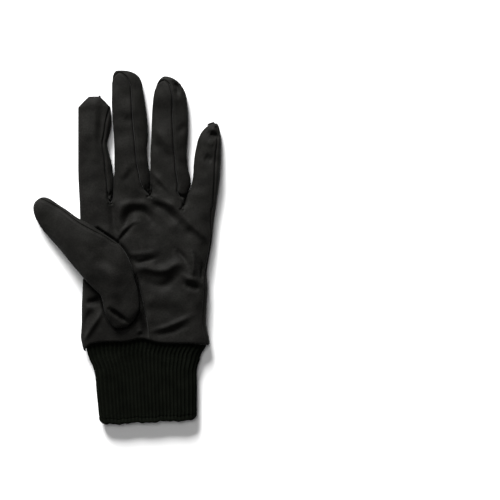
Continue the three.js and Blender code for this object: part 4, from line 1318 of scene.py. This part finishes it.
# %% [markdown]
# ## The cuff
#
# The cuff is one-by-one rib, a knit whose columns pull together into ridges.
# A striped bump would look right from above, but flat at the open end, where
# every ridge ends in a small wave. So the ridges are modelled: the way round
# the section is read through a wave with one crest to a rib. The crests are
# also marked for the material, which paints shade into the valleys between
# them, since the valleys hold less light than their depth alone would give.

# %% Ribbed cuff
RIB_COUNT = 58
RIB_DEPTH = 0.7
CUFF_WALL = 1.7
CUFF_ROWS = 110
POINTS_PER_RIB = 6
CUFF_CORNER = 2.6
CUFF_CORNER_SHARE = 0.06
END_WAVES = [(3.2, 0.5, 0.35), (7.7, 1.9, 0.25), (13.1, 0.2, 0.15)]
END_TRIM = 0.6
END_ROLL, END_ROLL_DEPTH = 1.6, 0.96
END_LINE = 3.6
END_LINE_DEPTH, END_LINE_WIDTH = 0.35, 0.45
RIB_SHARPNESS = 0.6
CUFF_SWELL = 0.3
TUCK_DIP = 1.2
ROW_CROWDING = 1.2


def cuff_section(way):
    """Share of the way across and rise, -1 to 1, for a way round the section."""
    upper = way < 0.5
    half = np.where(upper, way * 2, (1 - way) * 2)
    arc = math.pi / 2 * math.hypot(CUFF_ROLL, CUFF_THICKNESS / 2) * math.sqrt(0.5)
    turn = arc / (2 * arc + CUFF_WIDTH - 2 * CUFF_ROLL)
    rolled = CUFF_ROLL / CUFF_WIDTH
    near = np.where(half < 0.5, half, 1 - half)
    angle = np.minimum(near / turn, 1) * math.pi / 2
    flat = rolled + (near - turn) / (1 - 2 * turn) * (1 - 2 * rolled)
    share = np.where(near < turn, rolled * (1 - np.cos(angle)), flat)
    rise = np.sin(angle)
    return np.where(half < 0.5, share, 1 - share), np.where(upper, rise, -rise)


def cuff_end(share):
    """End of the cuff below the hem: slanted, a little wavy, with worn corners."""
    wave = sum(height * np.sin(count * 2 * math.pi * share + phase) for count, phase, height in END_WAVES)
    corner = 1 - roll(np.minimum(share, 1 - share) / CUFF_CORNER_SHARE)
    slant = (CUFF_END_SLANT - END_TRIM) * (1 - share)
    return -CUFF_LENGTH - slant + CUFF_CORNER * corner + wave


def rib_height(way):
    """1 on the ridge of a rib, 0 in the valleys beside it."""
    return (1 - np.cos(2 * np.pi * RIB_COUNT * way)) / 2


def cuff_point(way, down):
    """Point of the cuff's outer face. It goes down from 0 in the hem to 1 at the open end."""
    share, rise = cuff_section(way)
    top = hem_y(share) + CUFF_TUCK
    end = cuff_end(share)
    y = lerp(top, end, down)
    left = np.where(y > 0, hand_edge("left", y) + CUFF_ROOM, cuff_edge("left", y))
    right = np.where(y > 0, hand_edge("right", y) - CUFF_ROOM, cuff_edge("right", y))
    free = ease((hem_y(share) - TUCK_DIP - y) / (2 * CUFF_TUCK))
    half = lerp(HEM_THICKNESS - 2 * CUFF_ROOM, CUFF_THICKNESS, free) / 2
    middle = lerp(HEM_THICKNESS, CUFF_THICKNESS, free) / 2
    valley = 1 - rib_height(way) ** RIB_SHARPNESS
    from_end = y - end
    inset = RIB_DEPTH * valley * ease(from_end / (2 * END_ROLL))
    inset = inset + END_ROLL_DEPTH * (1 - roll(from_end / END_ROLL))
    inset = inset + END_LINE_DEPTH * np.exp(-(((from_end - END_LINE) / END_LINE_WIDTH) ** 2))
    inset = inset + CUFF_SWELL * (1 + swells(CUFF_WIDTH * share, y)) / 2
    x = lerp(left + inset, right - inset, share)
    return np.stack(np.broadcast_arrays(x, y, middle + (half - inset) * rise), axis=-1)


def cuff_cloth():
    """The cuff's tube, with its ridges marked."""
    ways = np.linspace(0, 1, RIB_COUNT * POINTS_PER_RIB + 1)[:, None]
    downs = np.sin(np.linspace(0, math.pi / 2, CUFF_ROWS + 1))[None, :] ** ROW_CROWDING
    outer = cuff_point(ways, downs)
    outer[-1] = outer[0]
    ridges = np.broadcast_to(rib_height(ways), outer.shape[:2])
    return cloth("cuff_rib", [(outer, False)], wall=CUFF_WALL - RIB_DEPTH, marks=("rib", ridges))


cuff = cuff_cloth()

# %% [markdown]
# ## Finish
#
# Fine polyester jersey is nearly black with a faint silky sheen, and the rib
# is duller and a little greener. A photograph of cloth would need a seam-true
# map, and single loops as geometry would need millions of faces. At this size
# the eye sees only soft clouds of lighter and darker colour and a fine grain,
# so two noises make both.

# %% Materials
# Share of the rib's colour kept in its valleys: painted shade, as light reaches them less
VALLEY_SHADE = 0.55
SHEEN_ROUGHNESS = 0.4
# The middle of a noise, where nearly all its values lie
NOISE_LOW, NOISE_HIGH = 0.3, 0.7
CLOUD_SCALE = 110
CLOUD_SHADES = (0.76, 1.24)
GRAIN_SHADES = (0.7, 1.3)
GRAIN_DEPTH = 0.3


def knit_material(name, colour, roughness, specular, sheen, loop, bump, ribs=False):
    """Cloth: soft clouds of lighter and darker colour, a grain as fine as the loops, and a bump of the
    same grain.
    """
    material = bpy.data.materials.new(name)
    material.use_nodes = True
    nodes, links = material.node_tree.nodes, material.node_tree.links
    shader = nodes["Principled BSDF"]
    shader.inputs["Roughness"].default_value = roughness
    shader.inputs["Sheen Weight"].default_value = sheen
    shader.inputs["Sheen Roughness"].default_value = SHEEN_ROUGHNESS
    shader.inputs["Specular IOR Level"].default_value = specular
    place = nodes.new("ShaderNodeTexCoord")

    def noise(scale, detail, shades):
        texture = nodes.new("ShaderNodeTexNoise")
        texture.inputs["Scale"].default_value = scale
        texture.inputs["Detail"].default_value = detail
        links.new(place.outputs["Object"], texture.inputs["Vector"])
        spread = nodes.new("ShaderNodeMapRange")
        spread.inputs["From Min"].default_value = NOISE_LOW
        spread.inputs["From Max"].default_value = NOISE_HIGH
        spread.inputs["To Min"].default_value = shades[0]
        spread.inputs["To Max"].default_value = shades[1]
        links.new(texture.outputs["Fac"], spread.inputs["Value"])
        return spread.outputs["Result"]

    def times(a, b):
        product = nodes.new("ShaderNodeMath")
        product.operation = "MULTIPLY"
        links.new(a, product.inputs[0])
        links.new(b, product.inputs[1])
        return product.outputs["Value"]

    grain = noise(1 / loop, detail=2, shades=GRAIN_SHADES)
    shade = times(noise(CLOUD_SCALE, detail=3, shades=CLOUD_SHADES), grain)
    # Painted shade on the rib: the colour is darkened in the valleys between the marked ridges
    if ribs:
        mark = nodes.new("ShaderNodeAttribute")
        mark.attribute_name = "rib"
        valley = nodes.new("ShaderNodeMapRange")
        valley.inputs["To Min"].default_value = VALLEY_SHADE
        links.new(mark.outputs["Fac"], valley.inputs["Value"])
        shade = times(shade, valley.outputs["Result"])
    tint = nodes.new("ShaderNodeVectorMath")
    tint.operation = "SCALE"
    tint.inputs[0].default_value = colour
    links.new(shade, tint.inputs["Scale"])
    links.new(tint.outputs["Vector"], shader.inputs["Base Color"])
    relief = nodes.new("ShaderNodeBump")
    relief.inputs["Strength"].default_value = bump
    relief.inputs["Distance"].default_value = GRAIN_DEPTH * MM
    links.new(grain, relief.inputs["Height"])
    links.new(relief.outputs["Normal"], shader.inputs["Normal"])
    return material


jersey = knit_material(
    "liner_knit",
    colour=(0.0062, 0.006, 0.0054),
    roughness=0.65,
    specular=0.04,
    sheen=0.02,
    loop=0.0009,
    bump=0.25,
)
ribbed = knit_material(
    "rib_knit",
    colour=(0.0031, 0.0037, 0.0026),
    roughness=0.95,
    specular=0.01,
    sheen=0.0,
    loop=0.001,
    bump=0.5,
    ribs=True,
)
print("materials", jersey.name, ribbed.name)

# %% Each cloth stands for its solid
for piece, nodes, slot, material in (
    (palm, ["palm"], "liner_knit", jersey),
    (back, ["back"], "liner_knit", jersey),
    (strips[0], ["fourchette_index_middle"], "fourchette_knit", jersey),
    (strips[1], ["fourchette_middle_ring"], "fourchette_knit", jersey),
    (strips[2], ["fourchette_ring_little"], "fourchette_knit", jersey),
    (thumb, ["thumb"], "liner_knit", jersey),
    (cuff, ["cuff"], "rib_knit", ribbed),
):
    piece.data.materials.append(material)
    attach(piece, "root")
    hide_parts(*nodes)
    print(piece.name, "stands for", *nodes)

# %% [markdown]
# ## Floor, light and camera
#
# A pale table, one large soft window above the fingertips, a weak light from
# overhead and a camera that looks straight down. Black cloth is easily lit too
# much: with light from all round its folds would vanish. One window from the
# side draws each fold as a lit slope and a dark one. A long lens from far off
# keeps the glove's sides out of sight, as in a catalogue picture.

# %% Studio
PHOTO_WIDTH = 360.0
PHOTO_CENTRE = (87.8, -1.5)
CAMERA_LENS = 200.0
SENSOR = 36.0
CAMERA_ABOVE = 5.0
FLOOR_SIZE = 3.0
WORLD_LIGHT = 0.12
LIT_PLACE = (0.05, 0, 0)


def make_floor():
    """Matt white table, far wider than the picture."""
    mesh = bpy.data.meshes.new("floor")
    size = FLOOR_SIZE
    corners = [(-size, -size, 0), (size, -size, 0), (size, size, 0), (-size, size, 0)]
    mesh.from_pydata(corners, [], [(0, 1, 2, 3)])
    floor = bpy.data.objects.new("floor", mesh)
    bpy.context.scene.collection.objects.link(floor)
    white = bpy.data.materials.new("floor_white")
    white.use_nodes = True
    paint = white.node_tree.nodes["Principled BSDF"]
    paint.inputs["Base Color"].default_value = (0.9, 0.9, 0.9, 1)
    paint.inputs["Roughness"].default_value = 0.9
    mesh.materials.append(white)


def soft_light(name, place, target, size, power):
    """Square lamp at a place in metres, turned to its target."""
    light = bpy.data.lights.new(name, "AREA")
    light.shape = "SQUARE"
    light.size = size
    light.energy = power
    lamp = bpy.data.objects.new(name, light)
    lamp.location = place
    lamp.rotation_mode = "QUATERNION"
    lamp.rotation_quaternion = (Vector(target) - Vector(place)).to_track_quat("-Z", "Y")
    bpy.context.scene.collection.objects.link(lamp)


make_floor()
soft_light("window", place=(-0.6, 1.8, 1.0), target=LIT_PLACE, size=0.9, power=150)
soft_light("top_fill", place=(-0.3, 0.4, 2.6), target=LIT_PLACE, size=1.0, power=18)
world = bpy.data.worlds.new("studio")
world.use_nodes = True
world.node_tree.nodes["Background"].inputs["Color"].default_value = (1, 1, 1, 1)
world.node_tree.nodes["Background"].inputs["Strength"].default_value = WORLD_LIGHT
bpy.context.scene.world = world
bpy.context.scene.view_settings.view_transform = "Standard"
print("table", 2 * FLOOR_SIZE, "m wide, world light", WORLD_LIGHT)

# %% Camera
camera_data = bpy.data.cameras.new("camera")
camera_data.lens = CAMERA_LENS
camera_data.sensor_width = SENSOR
camera_data.clip_start, camera_data.clip_end = 0.1, 20
camera = bpy.data.objects.new("camera", camera_data)
distance = CAMERA_LENS / SENSOR * PHOTO_WIDTH + CAMERA_ABOVE
camera.location = (PHOTO_CENTRE[0] * MM, PHOTO_CENTRE[1] * MM, distance * MM)
bpy.context.scene.collection.objects.link(camera)
bpy.context.scene.camera = camera
print("camera", round(distance / 1000, 3), "m above the table")
